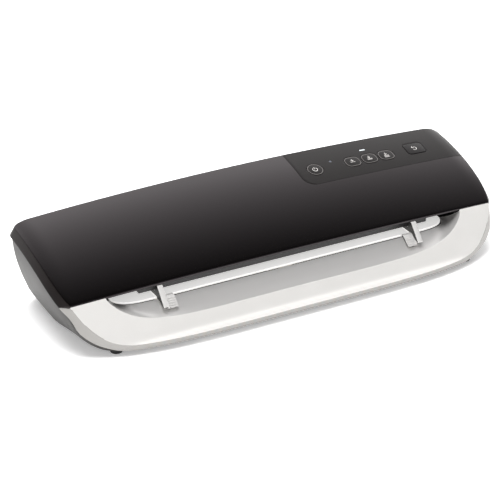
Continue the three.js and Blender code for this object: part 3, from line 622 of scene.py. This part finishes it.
# ---- Lamps ----
# Two light guides of milky acrylic pressed in from below: a dot that shows when the machine is
# ready, and a dash that shows its speed.
lamp_lens = plastic("lamp_lens", (0.62, 0.66, 0.68), 0.2, mottle=0.04, relief=0.001)
dim_lens = plastic("dim_lens", (0.075, 0.085, 0.105), 0.2, mottle=0.04, relief=0.001)
for name, (x, depth, shape) in lamp_shapes.items():
    body = build(name + "_lens", *placed(face_frame(x, depth), pushed(shape(0), -4, 0.12, 0.25, 0.2)))
    dress(body, lamp_lens if name == "lamp_speed" else dim_lens, "housing", "lamp_lens", name)

# ---- Front tray ----
# One moulding in satin silver paint. It falls from the cover's front edge in an S to the table,
# turns under in a band, and dips in the middle into a scooped throat below the feed ledge.
TRAY_HALF, TRAY_REACH = 243, 43
THROAT_HALF, THROAT_REACH = 206, 21
TRAY_POWERS, THROAT_POWERS = (4.8, 1.5), (6.5, 1.6)      # of their outlines, across and forward
TRAY_RUN, TRAY_FALL, TRAY_SLOPE = 35, 39.5, 0.62         # of the S: its length, drop and lead-in
BAND_DROP, BAND_SAG, SAG_RUN = 6.7, 3.4, 26
TAIL_RUN = 12            # where the band's foot starts to run back to the bevel
TRAY_WALL = 2.5
LEDGE_Z = 38
GUIDE_TRACK = 2.8
JOINT_GAP = 0.4


def power(value, exponent):
    return np.sign(value) * np.abs(value) ** exponent


def arch(angle, half, reach, across, back):
    """An outline in plan: a superellipse about the middle of the cover's front edge."""
    return (half * power(np.sin(angle), 2 / across),
            -JOINT_GAP - (reach - JOINT_GAP) * power(np.cos(angle), 2 / back))


def tray_rim(angle, inset=0):
    return arch(angle, TRAY_HALF - inset, TRAY_REACH - inset, *TRAY_POWERS)


def throat_rim(angle, grow=0):
    return arch(angle, THROAT_HALF + grow, THROAT_REACH + grow, *THROAT_POWERS)


def ledge_line(angle, forward=0):
    """The ledge's front outline in plan, or a line in front of it."""
    return (194 * power(np.sin(angle), 2 / 18), 20 - (18.7 + forward) * power(np.cos(angle), 2 / 1.8))


def tray_z(x, depth):
    """Height of the tray: an S that falls from the cover's crowned edge to a level front."""
    run = np.clip(-depth / TRAY_RUN, 0, 1)
    fall = run ** 2 * (3 - 2 * run) + TRAY_SLOPE * run * (1 - run) ** 2
    return 51.2 + (2.85 - 3 * (x / 251) ** 2) * (1 - run) - TRAY_FALL * fall


def band_out(x):
    """How far the band leans out: 0 in front, 1 at the tray's ends."""
    return np.minimum(np.abs(x) / TRAY_HALF, 1) ** 7


def band_sag(rim_depth):
    """The band is deepest a little in front of the seam."""
    return BAND_SAG * np.sin(np.pi * np.clip(-rim_depth / SAG_RUN, 0, 1))


def band_foot(x, rim_depth, sink):
    """The band's lower edge. At the tray's ends it runs back under the slanted end of the bevel."""
    out = band_out(x)
    tail = np.clip(1 + (rim_depth + JOINT_GAP) / TAIL_RUN, 0, 1)
    tail = tail ** 2 * (3 - 2 * tail)
    depth = mix(rim_depth + 3 * (1 - out), SEAM_RUN - 0.8, tail)
    edge = edge_x(np.maximum(depth, 0))
    half = mix(np.abs(x) + BEVEL_OUT * out, edge - 0.6 + BEVEL_OUT - sink, tail)
    surface = np.where(depth < 0, tray_z(x, depth), face_z(edge, depth) - 0.6)
    down = mix(mix(BAND_DROP, BEVEL_DOWN, out), BEVEL_DOWN - 0.6, tail)
    z = mix(tray_z(x, rim_depth), surface, np.minimum(tail * 8, 1)) - down
    return row(np.sign(x) * half, depth, z - band_sag(rim_depth) * out)


def even_angles(rim, count):
    """Angles that step evenly along a rim."""
    dense = power(np.linspace(-1, 1, 24001), 3) * QUARTER
    x, depth = rim(dense)
    run = np.concatenate([[0], np.cumsum(np.hypot(np.diff(x), np.diff(depth)))])
    return np.interp(np.linspace(0, run[-1], count), run, dense)


angles = even_angles(tray_rim, 261)


def row(x, depth, z):
    return np.stack([x, FRONT_Y + depth, z], 1)


def tray_skin(sink):
    """Rows from the ledge, down through the throat and over the S, to the band's foot."""
    line_x, line_depth = ledge_line(angles, GUIDE_TRACK)
    rows = [row(line_x, line_depth, np.full_like(line_x, LEDGE_Z - 1 - sink))]
    throat_x, throat_depth = throat_rim(angles)
    throat_z = tray_z(throat_x, throat_depth)
    for t in np.linspace(0, 1, 15)[1:]:
        z = mix(LEDGE_Z - 1, throat_z - 1.4, t ** 1.15) - 1.3 * math.sin(math.pi * t)
        rows.append(row(mix(line_x, throat_x, t), mix(line_depth, throat_depth, t), z - sink))
    wide_x, wide_depth = throat_rim(angles, 1.3)
    wide = row(wide_x, wide_depth, tray_z(wide_x, wide_depth) - sink)
    corner = row(throat_x, throat_depth, throat_z - sink)
    rows += [p.reshape(-1, 3) for p in turn_over(rows[-1].ravel(), corner.ravel(), wide.ravel(), 6)[1:]]
    near_x, near_depth = tray_rim(angles, 1.0 + sink)
    for t in np.linspace(0, 1, 19)[1:]:
        x, depth = mix(wide_x, near_x, t), mix(wide_depth, near_depth, t)
        rows.append(row(x, depth, tray_z(x, depth) - sink))
    rim_x, rim_depth = tray_rim(angles, sink)
    foot = band_foot(rim_x, rim_depth, sink)
    edge = row(rim_x, rim_depth, tray_z(rim_x, rim_depth) - sink)
    below = mix(edge, foot, 0.12)
    rows += [p.reshape(-1, 3) for p in turn_over(rows[-1].ravel(), edge.ravel(), below.ravel(), 5)[1:]]
    rows += [mix(edge, foot, share) for share in np.linspace(0.12, 1, 6)[1:]]
    return np.array(rows)


tray_silver = plastic("tray_silver", (0.72, 0.71, 0.69), 0.34, mottle=0.045, grain=3600, relief=0.004,
                      metal=0.25, rough_swing=0.05)
# A darker copy of the tray's silver for the band: painted shade on its steep faces, where less light falls.
band_painted_shade = plastic("band_painted_shade", (0.36, 0.35, 0.335), 0.42, mottle=0.06, grain=2400, relief=0.01,
                      metal=0.3)
throat_silver = plastic("throat_silver", (0.72, 0.71, 0.70), 0.3, mottle=0.02, grain=900, relief=0.0005,
                        metal=0.6, rough_swing=0.02)
front_tray = shell("tray_moulding", tray_skin(0), tray_skin(TRAY_WALL))
dress(front_tray, tray_silver, "housing", "tray_silver", "front_tray")


def in_arch(middle, half, reach, powers):
    """How far out of an arch a place is: 1 on its line."""
    depth = middle.y / MM - FRONT_Y
    return (abs(middle.x) / MM / half) ** powers[0] + (max(-depth, 0) / reach) ** powers[1]


repaint(front_tray, throat_silver,
        lambda middle, normal: in_arch(middle, THROAT_HALF, THROAT_REACH, THROAT_POWERS) < 1.0)
# The band's steep faces take the darker copy of the silver: painted shade.
repaint(front_tray, band_painted_shade,
        lambda middle, normal: in_arch(middle, TRAY_HALF, TRAY_REACH, TRAY_POWERS) > 0.86 and normal.z < 0.35)

# ---- Feed ledge and slot bezel ----
# The ledge is a pale plate that carries the pouch into the slot, a step above the scoop. Its glow
# is painted light. The bezel is the dark bar under the cover's edge that closes the slot from above.
LEDGE_BACK = 33
BEZEL_HALF = 168


def along_x(profile, left_x, right_x, edge=0.4):
    """A bar of one (depth, z) profile, drawn out along the machine, with its edges broken."""
    matrix = Matrix(((0, 0, 1, 0), (1, 0, 0, FRONT_Y), (0, 1, 0, 0), (0, 0, 0, 1)))
    return placed(matrix, pushed(profile, left_x, right_x, edge, edge, 3))


ledge_turns = even_angles(ledge_line, 121)
ledge_x, ledge_depth = ledge_line(ledge_turns)
ledge_outline = [(x * 0.995, FRONT_Y + depth) for x, depth in zip(ledge_x, ledge_depth)]
ledge_outline += [(x, FRONT_Y + depth) for x, depth in
                  [(193, 25), (171, 25), (171, LEDGE_BACK), (-171, LEDGE_BACK), (-171, 25), (-193, 25)]]
ledge_silver = plastic("ledge_silver", (0.95, 0.945, 0.935), 0.35, mottle=0.03, grain=3200, relief=0.004)
# The ledge's glow is painted light: it stands in for the light that falls on it from the front.
ledge_glow_inputs = ledge_silver.node_tree.nodes["Principled BSDF"].inputs
ledge_glow_inputs["Emission Color"].default_value = (1.0, 0.995, 0.98, 1)
ledge_glow_inputs["Emission Strength"].default_value = 0.55
feed_ledge = build("ledge_plate", *pushed(ledge_outline, LEDGE_Z - 2, LEDGE_Z, 0.35, 0.2))
dress(feed_ledge, ledge_silver, "housing", "ledge_silver", "feed_ledge")

bezel_profile = [(5.3, 44.4), (5.9, 44), (17, 44), (33, 42.6),
                 (33, 44.6), (17, 46), (16, 53), (5.8, 53), (5.3, 52.5)]
bezel_dark = plastic("bezel_dark", (0.018, 0.017, 0.0175), 0.38, mottle=0.1, grain=2200, relief=0.01)
slot_bezel = build("bezel_bar", *along_x(bezel_profile, -BEZEL_HALF, BEZEL_HALF, 0.3))
dress(slot_bezel, bezel_dark, "housing", "shell_grey", "slot_bezel")

# ---- Pouch guides ----
# Two silver fins that close on the pouch from both sides. Each stands over the throat on a stem
# through the open track, with a small ribbed foot on its inner side that holds the pouch down.
GUIDE_X, GUIDE_HALF = 148, 3
RIM_Z = 52
fin_front = [(15, -8.4), (15, -13.6), (0.9, -13.6), (0.9, -17), (-0.5, -17), (-0.5, -14.2)]
fin_nose = [tuple(p) for p in turn_over((-13.8, -18.7), (-15.6, -19.3), (-15.5, -17.6), 5)]
fin_brow = [tuple(p) for p in turn_over((-2.2, -2.1), (-1.2, -0.9), (0.4, -0.9), 5)]
FIN = [(4.9, -0.9), (4.9, -8.4)] + fin_front + fin_nose + fin_brow
FOOT = [(-0.5, -13.8), (-3.5, -15), (-13, -21.9), (-13.5, -20.4), (-4, -13), (-0.5, -12.3)]
FOOT_WIDE = 11
FOOT_RIBS = 5


def row_tree(name, **kinds):
    """A shape tree for things in a row: its web, what reads its inputs, and the row's points."""
    tree = bpy.data.node_groups.new(name, "GeometryNodeTree")
    shared = {"Count": "Int", "Start": "Vector", "Step": "Vector", "Finish": "Material"}
    for label, kind in {**shared, **kinds}.items():
        tree.interface.new_socket(label, in_out="INPUT", socket_type="NodeSocket" + kind)
    tree.interface.new_socket("Geometry", in_out="OUTPUT", socket_type="NodeSocketGeometry")
    web = Web(tree)
    inputs = tree.nodes.new("NodeGroupInput")

    def asked(label):
        return Wire(web, inputs.outputs[label])

    points = web.node("GeometryNodeMeshLine", {}, {
        "Count": asked("Count"), "Start Location": asked("Start"), "Offset": asked("Step")})
    return web, asked, points


def send_row(web, asked, points, thing, **more):
    """Sets the thing out on the row's points, and gives the row its finish."""
    spread = web.node("GeometryNodeInstanceOnPoints", {}, {"Points": points, "Instance": thing, **more})
    solid = web.node("GeometryNodeRealizeInstances", {}, {"Geometry": spread})
    dressed = web.node("GeometryNodeSetMaterial", {}, {"Geometry": solid, "Material": asked("Finish")})
    web.join(dressed, web.tree.nodes.new("NodeGroupOutput").inputs[0])


ribs, rib_asked, rib_points = row_tree("foot_ribs", Size="Vector", Tilt="Float")
rib_bar = ribs.node("GeometryNodeMeshCube", {}, {"Size": rib_asked("Size")}, "Mesh")
rib_turn = ribs.node("ShaderNodeCombineXYZ", {}, {"X": rib_asked("Tilt")})
send_row(ribs, rib_asked, rib_points, rib_bar, Rotation=rib_turn)


def grown(name, tree, **inputs):
    """A plain mesh object made by a shape tree."""
    holder = bpy.data.objects.new(name, bpy.data.meshes.new(name))
    scene.collection.objects.link(holder)
    maker = holder.modifiers.new("maker", "NODES")
    maker.node_group = tree
    for item in tree.interface.items_tree:
        if item.in_out == "INPUT" and item.name in inputs:
            maker[item.identifier] = inputs[item.name]
    settle(holder)
    return holder


def merged(piece, *others):
    """Several objects' meshes as one object's."""
    work = bmesh.new()
    for one in (piece, *others):
        work.from_mesh(one.data)
    work.to_mesh(piece.data)
    work.free()
    for one in others:
        bpy.data.objects.remove(one)
    return piece


guide_silver = plastic("guide_silver", (0.80, 0.79, 0.775), 0.3, mottle=0.05, grain=3000, relief=0.004,
                       metal=0.45)
# A dark copy of the guides' silver for the fins' flat sides: painted shade.
guide_flank = plastic("guide_flank", (0.06, 0.058, 0.056), 0.4, mottle=0.08, grain=2400, relief=0.01,
                      metal=0.5)
for side, name in ((-1, "left"), (1, "right")):
    middle = side * GUIDE_X
    fin = build(f"guide_fin_{name}", *along_x([(d, RIM_Z + h) for d, h in FIN][::-1],
                middle - GUIDE_HALF, middle + GUIDE_HALF, 0.5))
    inner_x = middle - side * GUIDE_HALF
    ends = sorted([inner_x - side * FOOT_WIDE, inner_x + side * 0.5])
    foot = build("foot", *along_x([(d, RIM_Z + h) for d, h in FOOT][::-1], *ends, 0.3))
    rib_x = inner_x - side * (1.2 + FOOT_WIDE / 2 - 0.6)
    foot_ribs = grown("ribs", ribs.tree, Count=FOOT_RIBS,
                      Start=Vector((rib_x, FRONT_Y - 6.2, RIM_Z - 14.6)) * MM,
                      Step=Vector((0, -1.95, -1.5)) * MM, Size=Vector((FOOT_WIDE - 2.4, 0.8, 0.8)) * MM,
                      Tilt=math.atan2(10.4, 13.5), Finish=guide_silver)
    merged(fin, foot, foot_ribs)
    dress(fin, guide_silver, f"guide_{name}_carriage", "guide_silver", f"guide_{name}")
    # Painted shade: the fin's flat sides take the dark copy of the silver.
    repaint(fin, guide_flank, lambda middle, normal: abs(normal.x) > 0.9)

# ---- End caps ----
# Two grey textured shells that make the machine's ends and wrap round its rear corners. They
# swell outwards from the foot and tuck in under the cover's bevel, a shadow gap below it.
CAP_WALL = 2.5
CAP_LOW = 4
SHADOW_GAP = 0.8
REAR_FACE = 124
FOOT_CORNER, TOP_CORNER = 12, 7
FOOT_TUCK, TUCK_SHARE = 2.6, 0.2         # the lower edge turns in by this, over this share of the height
CURL = 0.86


def foot_x(depth):
    """Half the width at the foot: it leans in towards the front, then curls under the tray."""
    run, curl = max(60 - depth, 0), max((-10 - depth) / 14, 0)
    bow = 2 * math.sin(math.pi * min(max(depth, 0), 125) / 125)
    return 235 + bow - 0.26 * run ** 2 / (run + 10) - 14 * curl ** 2


def cap_lines():
    """The foot and the top of the right-hand cap, column by column from the back to the front."""
    foot, top = [], []
    for turn in np.linspace(QUARTER, 0, 15):
        foot.append((foot_x(REAR_FACE - FOOT_CORNER) - FOOT_CORNER + FOOT_CORNER * math.cos(turn),
                     REAR_FACE - FOOT_CORNER + FOOT_CORNER * math.sin(turn), CAP_LOW))
        cover_x = edge_x(110) - COVER_CORNER + COVER_CORNER * math.cos(turn)
        cover_depth = COVER_BACK - COVER_CORNER + COVER_CORNER * math.sin(turn)
        top.append((edge_x(110) + 2 - TOP_CORNER + TOP_CORNER * math.cos(turn),
                    REAR_FACE - TOP_CORNER + TOP_CORNER * math.sin(turn),
                    face_z(cover_x, cover_depth) - BEVEL_DOWN - SHADOW_GAP))
    for t in np.linspace(0, 1, 34)[1:]:
        depth = mix(REAR_FACE - FOOT_CORNER, 20, t)
        foot.append((foot_x(depth), depth, CAP_LOW))
        depth = mix(REAR_FACE - TOP_CORNER, 2, t)
        cover_x = edge_x(min(depth, 110))
        top.append((cover_x + 2, depth, face_z(cover_x, depth) - BEVEL_DOWN - SHADOW_GAP))
    for t in np.linspace(0, 1, 46)[1:]:
        depth = mix(20, -24, t)
        foot.append((foot_x(depth), depth, CAP_LOW))
        x, depth = tray_rim(QUARTER - CURL * t)
        out = band_out(x)
        z = tray_z(x, depth) - mix(BAND_DROP, BEVEL_DOWN, out) - 3 * SHADOW_GAP - band_sag(depth) * out
        top.append((x + mix(-3, 2.4, out), depth + mix(3.5, 0, out), max(z, CAP_LOW + 1.5)))
    return np.array(foot), np.array(top)


def cap_skin():
    """Rows of the right-hand cap from its foot to its top, swelling outwards on the way."""
    foot, top = cap_lines()
    rows = []
    for t in np.linspace(0, 1, 25):
        swell = math.sin(t * QUARTER)
        tuck = FOOT_TUCK * max(1 - t / TUCK_SHARE, 0) ** 2
        rows.append(row(mix(foot[:, 0], top[:, 0], swell) - tuck, mix(foot[:, 1], top[:, 1], swell),
                        mix(foot[:, 2], top[:, 2], t)))
    return np.array(rows)


def wall_inside(grid, wall):
    """The same grid moved in by a wall, against the way it faces."""
    down = np.gradient(grid, axis=0)
    across = np.gradient(grid, axis=1)
    normal = np.cross(down, across)
    normal /= np.linalg.norm(normal, axis=2)[:, :, None] + 1e-12
    return grid - normal * wall


shell_grey = plastic("shell_grey", (0.040, 0.0385, 0.036), 0.5, mottle=0.06, grain=1500, relief=0.03)
cap_outer = cap_skin()
cap_inner = wall_inside(cap_outer, CAP_WALL)
cap_inner[0, :, 2], cap_inner[-1, :, 2] = cap_outer[0, :, 2], cap_outer[-1, :, 2]
cap_inner[:, 0, 1] = cap_outer[:, 0, 1]
for side, name in ((-1, "left"), (1, "right")):
    hand = np.array([side, 1, 1])
    cap = shell(f"end_shell_{name}", cap_outer * hand, cap_inner * hand)
    dress(cap, shell_grey, "housing", "shell_grey", f"end_cap_{name}", crease=50)

# ---- Base pan and its screws ----
# A charcoal tray floor that closes the machine from below, with stiffening ribs under it and
# four counterbored holes. A pan-head screw with a cross recess sits in each of them.
BASE_TOP = 6.5
SCREW_X, SCREW_DEPTHS = 120, (5, 108)
SCREWS = [(x, depth) for depth in SCREW_DEPTHS for x in (-SCREW_X, SCREW_X)]

base_side = [(foot_x(depth) - CAP_WALL - 3.8, min(depth, 121))
             for depth in [*np.linspace(124, 20, 16)[:-1], *np.linspace(20, -24, 12)]]
for turn in np.linspace(0.82, 0, 30) ** 3:
    x, depth = arch(turn, TRAY_HALF - 15, TRAY_REACH - 6.5, *TRAY_POWERS)
    base_side.append((float(x), float(depth)))
base_line = [(x, FRONT_Y + depth) for x, depth in base_side]
base_line += [(-x, y) for x, y in base_line[-2::-1]]
base_grey = plastic("base_grey", (0.028, 0.028, 0.030), 0.55, mottle=0.1, grain=1600, relief=0.03)
base_pan = build("base_floor", *pushed(base_line[::-1], CAP_LOW, BASE_TOP, 0.3, 0.3))
holes = [placed(Matrix.Translation((x, FRONT_Y + depth, 0)), pushed(circle(radius), low_z, high_z))
         for x, depth in SCREWS for radius, low_z, high_z in ((1.8, 2, 9), (3.4, 2, CAP_LOW + 1.2))]
cut_away(base_pan, build("clearances", *together(*holes[0::2])),
         build("counterbores", *together(*holes[1::2])))
base_ribs = [grown("floor_ribs", ribs.tree, Count=9, Tilt=0.0, Finish=base_grey,
                   Start=Vector((middle, FRONT_Y + 22, CAP_LOW - 0.35)) * MM,
                   Step=Vector((0, 9, 0)) * MM, Size=Vector((128, 1.4, 0.8)) * MM)
             for middle in (-88, 88)]
merged(base_pan, *base_ribs)
dress(base_pan, base_grey, "housing", "base_grey", "base_pan")

copies, copy_asked, copy_points = row_tree("set_out", Piece="Object")
copied = copies.node("GeometryNodeObjectInfo", {}, {"Object": copy_asked("Piece")}, "Geometry")
send_row(copies, copy_asked, copy_points, copied)


def turned(profile, steps=48):
    """A solid of revolution about z from a closed (radius, z) profile, anticlockwise."""
    points, faces, count = [], [], len(profile)
    for i in range(steps):
        angle = i * 2 * math.pi / steps
        points += [(r * math.cos(angle), r * math.sin(angle), z) for r, z in profile]
        ring = [i * count + k for k in (*range(count), 0)]
        after = [(i + 1) % steps * count + k for k in (*range(count), 0)]
        faces += strip(ring, after)
    return points, faces


steel = plastic("turned_steel", (0.52, 0.52, 0.53), 0.3, mottle=0.08, grain=900, relief=0.004, metal=1.0)
screw_line = [(0.001, 4.9), (0.001, 3.9), (2.2, 3.9), (2.8, 4.1), (3.0, 4.5), (3.0, 5.0),
              (1.5, 5.0), (1.5, 13.4), (0.9, 14), (0.001, 14)]
screw = build("screw", *turned(screw_line, 32))
cut_away(screw, *(build("driver", *pushed([(-a, -b), (a, -b), (a, b), (-a, b)], 3, 4.75))
                  for a, b in ((1.9, 0.35), (0.35, 1.9))))
screw_sets = [grown("base_screws", copies.tree, Piece=screw, Count=2, Finish=steel,
                    Start=Vector((-SCREW_X, FRONT_Y + depth, 0)) * MM, Step=Vector((2 * SCREW_X, 0, 0)) * MM)
              for depth in SCREW_DEPTHS]
bpy.data.objects.remove(screw)
merged(*screw_sets)
dress(screw_sets[0], steel, "housing", "steel", *[f"base_screw_{n}" for n in (1, 2, 3, 4)])

# ---- Feet ----
# Four turned pads of soft black rubber, with a broken edge and a dished underside.
FOOT_PLACES = {"foot_front_left": (-204, -16.5), "foot_front_right": (204, -16.5),
               "foot_rear_left": (-215, 105), "foot_rear_right": (215, 105)}
foot_rubber = plastic("foot_rubber", (0.012, 0.012, 0.012), 0.75, mottle=0.15, grain=1400, relief=0.03)
pad = [(0.001, 3.7), (0.001, 0.6), (3.6, 0.6), (4.1, 0.1), (5.5, 0),
       (6.1, 0.25), (6.4, 0.9), (6.4, 3.4), (6.1, 3.7)]
for name, (x, depth) in FOOT_PLACES.items():
    foot = build(name + "_pad", *placed(Matrix.Translation((x, FRONT_Y + depth, 0)), turned(pad)))
    dress(foot, foot_rubber, "housing", "foot_rubber", name)

# ---- Back wall ----
# Two plates between the end caps' wrapped corners, one above the exit slot with two banks of
# air vents and one below it. A third, small plate carries the mains inlet.
REAR_WALL = 124.1
EXIT_LOW, EXIT_HIGH = 35.9, 47.1
VENT_Z, VENT_STARTS = 64, (-140, 95)     # the height of the vents, and each bank's first one
PLATE_END = 260          # past the machine's ends, where rear_half takes over
INLET_X, INLET_Z = 205, 20
INLET_PLATE_X = 190
foot_line, top_line = cap_lines()


def rear_half(z):
    """Half the width left between the caps' wrapped corners at this height."""
    share = (z - CAP_LOW) / (top_line[0, 2] - CAP_LOW)
    return mix(foot_line[0, 0], top_line[0, 0], math.sin(min(max(share, 0), 1) * QUARTER)) - 0.5


def rear_plate(name, left, right, low_z, high_z):
    """A plate of the back wall, softly rounded at its rim so that its edge reads as a joint."""
    skins = []
    for depth in (REAR_WALL, REAR_WALL - 2.5):
        grid = []
        for v in np.linspace(0, 1, 13):
            half = rear_half(mix(low_z, float(high_z(0)), v))
            x = np.linspace(max(left, -half), min(right, half), 81)
            grid.append(np.stack([x, np.full_like(x, FRONT_Y + depth), mix(low_z, high_z(x), v)], 1))
        skins.append(np.array(grid))
    plate = shell(name, *skins)
    soften(plate, 0.45, 60, 3)
    return plate


def cover_rim(x):
    return face_z(x, COVER_BACK) - BEVEL_DOWN - 0.6


def slot_rim(x):
    return EXIT_LOW - 0.4 + 0 * x


def backward(outline, x, z, near, far, *rounds):
    """An (x, z) outline pushed along the machine's depth."""
    matrix = Matrix(((1, 0, 0, x), (0, 0, 1, FRONT_Y), (0, 1, 0, z), (0, 0, 0, 1)))
    return placed(matrix, pushed(outline, near, far, *rounds))


upper = rear_plate("rear_plate_upper", -PLATE_END, PLATE_END, EXIT_HIGH + 0.4, cover_rim)
slot_knife = build("slot_knife", *backward(rounded(3.6, 14, 1.75, 5), 0, VENT_Z, 115, 130))
vents = [grown("vents", copies.tree, Piece=slot_knife, Count=6, Finish=shell_grey,
               Start=Vector((first, 0, 0)) * MM, Step=Vector((9, 0, 0)) * MM) for first in VENT_STARTS]
bpy.data.objects.remove(slot_knife)
cut_away(upper, *vents)
dress(upper, shell_grey, "housing", "shell_grey", "rear_cover_upper")
lower = rear_plate("rear_plate_lower", -PLATE_END, INLET_PLATE_X, CAP_LOW, slot_rim)
dress(lower, shell_grey, "housing", "shell_grey", "rear_cover_lower")

inlet_plate = rear_plate("inlet_plate", INLET_PLATE_X + 0.4, PLATE_END, CAP_LOW, slot_rim)
cut_away(inlet_plate, build("inlet_hole", *backward(rounded(24.3, 15.3, 2.6), INLET_X, INLET_Z, 115, 130)))
dress(inlet_plate, shell_grey, "housing", "shell_grey", "power_inlet")
inlet_black = plastic("inlet_black", (0.012, 0.012, 0.0125), 0.45, mottle=0.1, grain=1600, relief=0.02)
inlet = build("inlet_body", *backward(rounded(24, 15, 2.5), INLET_X, INLET_Z, 104, 124.7, 0.5, 0.3))
cut_away(inlet, build("socket", *backward(rounded(15.5, 8, 3.8), INLET_X, INLET_Z, 111, 130)))
soften(inlet, 0.25, 50)
dress(inlet, inlet_black, "housing", "inlet_black", "power_inlet")
pin_pair = [backward(circle(1.2, 24), INLET_X + offset, INLET_Z, 110, 118.5, 0.5, 0)
            for offset in (-4.3, 4.3)]
pins = build("inlet_pins", *together(*pin_pair))
dress(pins, steel, "housing", None, "power_inlet")

# ---- Exit slot ----
# A pair of rounded lips and two cheeks frame the slot in the back wall where the pouch comes out.
LIP_HALF = rear_half(EXIT_LOW) - 0.3
for name, low_z in (("exit_lip_lower", EXIT_LOW), ("exit_lip_upper", EXIT_HIGH - 2.1)):
    outline = [(112, low_z), (125, low_z), (125, low_z + 2.1), (112, low_z + 2.1)]
    bar = build(name + "_bar", *along_x(outline, -LIP_HALF, LIP_HALF, 0.4))
    soften(bar, 0.7, 50, 3)
    dress(bar, shell_grey, "housing", "shell_grey", name)
for side, name in ((-1, "exit_cheek_left"), (1, "exit_cheek_right")):
    low_z, high_z = EXIT_LOW + 2.2, EXIT_HIGH - 2.2
    outline = [(112, low_z), (124.6, low_z), (124.6, high_z), (112, high_z)]
    cheek = build(name + "_block", *along_x(outline, *sorted([side * 167.6, side * LIP_HALF]), 0.4))
    soften(cheek, 0.5, 50, 3)
    dress(cheek, shell_grey, "housing", "shell_grey", name)

# ---- Inside ----
# Turned silicone rollers on steel shafts replace the coarse ones. Everything else inside keeps
# its own shape and takes a finish of its own.
ROLLERS = {"front_lower": (45, 30), "front_upper": (45, 52),
           "rear_lower": (85, 30), "rear_upper": (85, 52)}
silicone = plastic("silicone_red", (0.30, 0.055, 0.028), 0.6, mottle=0.1, grain=1300, relief=0.02)
roller_line = [(4.4, -165), (10.4, -165), (10.9, -164.4), *[(10.9, z) for z in np.linspace(-150, 150, 11)],
               (10.9, 164.4), (10.4, 165), (4.4, 165)]
shaft_line = [(0.001, -184), (3.5, -184), (4, -183.5), (4, 186.5), (3.5, 187), (0.001, 187)]
for place, (depth, z) in ROLLERS.items():
    lay = Matrix(((0, 0, 1, 0), (1, 0, 0, FRONT_Y + depth), (0, 1, 0, z), (0, 0, 0, 1)))
    for kind, line, finish, slot in (("roller", roller_line, silicone, "silicone"),
                                     ("shaft", shaft_line, steel, "steel")):
        round_part = build(f"{kind}_{place}_turned", *placed(lay, turned(line, 64)))
        dress(round_part, finish, f"{place}_roller", slot, f"{kind}_{place}")

nylon = plastic("nylon", (0.72, 0.68, 0.58), 0.5, mottle=0.06, grain=1500, relief=0.01)
frame_steel = plastic("frame_steel", (0.50, 0.51, 0.52), 0.38, mottle=0.1, grain=700, relief=0.006,
                      metal=0.9)
motor_steel = plastic("motor_steel", (0.24, 0.25, 0.27), 0.42, mottle=0.1, grain=900, relief=0.006,
                      metal=0.8)
heater_alloy = plastic("heater_alloy", (0.58, 0.60, 0.62), 0.35, mottle=0.08, grain=900, relief=0.006,
                       metal=1.0)
board_green = plastic("board_green", (0.018, 0.10, 0.045), 0.4, mottle=0.15, grain=600, relief=0.01)
kept = [
    (steel, ["idler_stud", "pinion_stud", "motor_pinion", "spring_front", "spring_rear"]),
    (nylon, ["idler_gear", "guide_pinion", "rack_left", "rack_right"]),
    (nylon, [f"gear_{place}" for place in ROLLERS]),
    (frame_steel, ["frame_left", "frame_right", "heat_shield"]),
    (motor_steel, ["gear_motor"]),
    (heater_alloy, ["heater_plate_lower", "heater_plate_upper"]),
    (board_green, ["control_board"]),
]
for finish, nodes in kept:
    for node in nodes:
        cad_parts[node].material_slots[0].material = finish
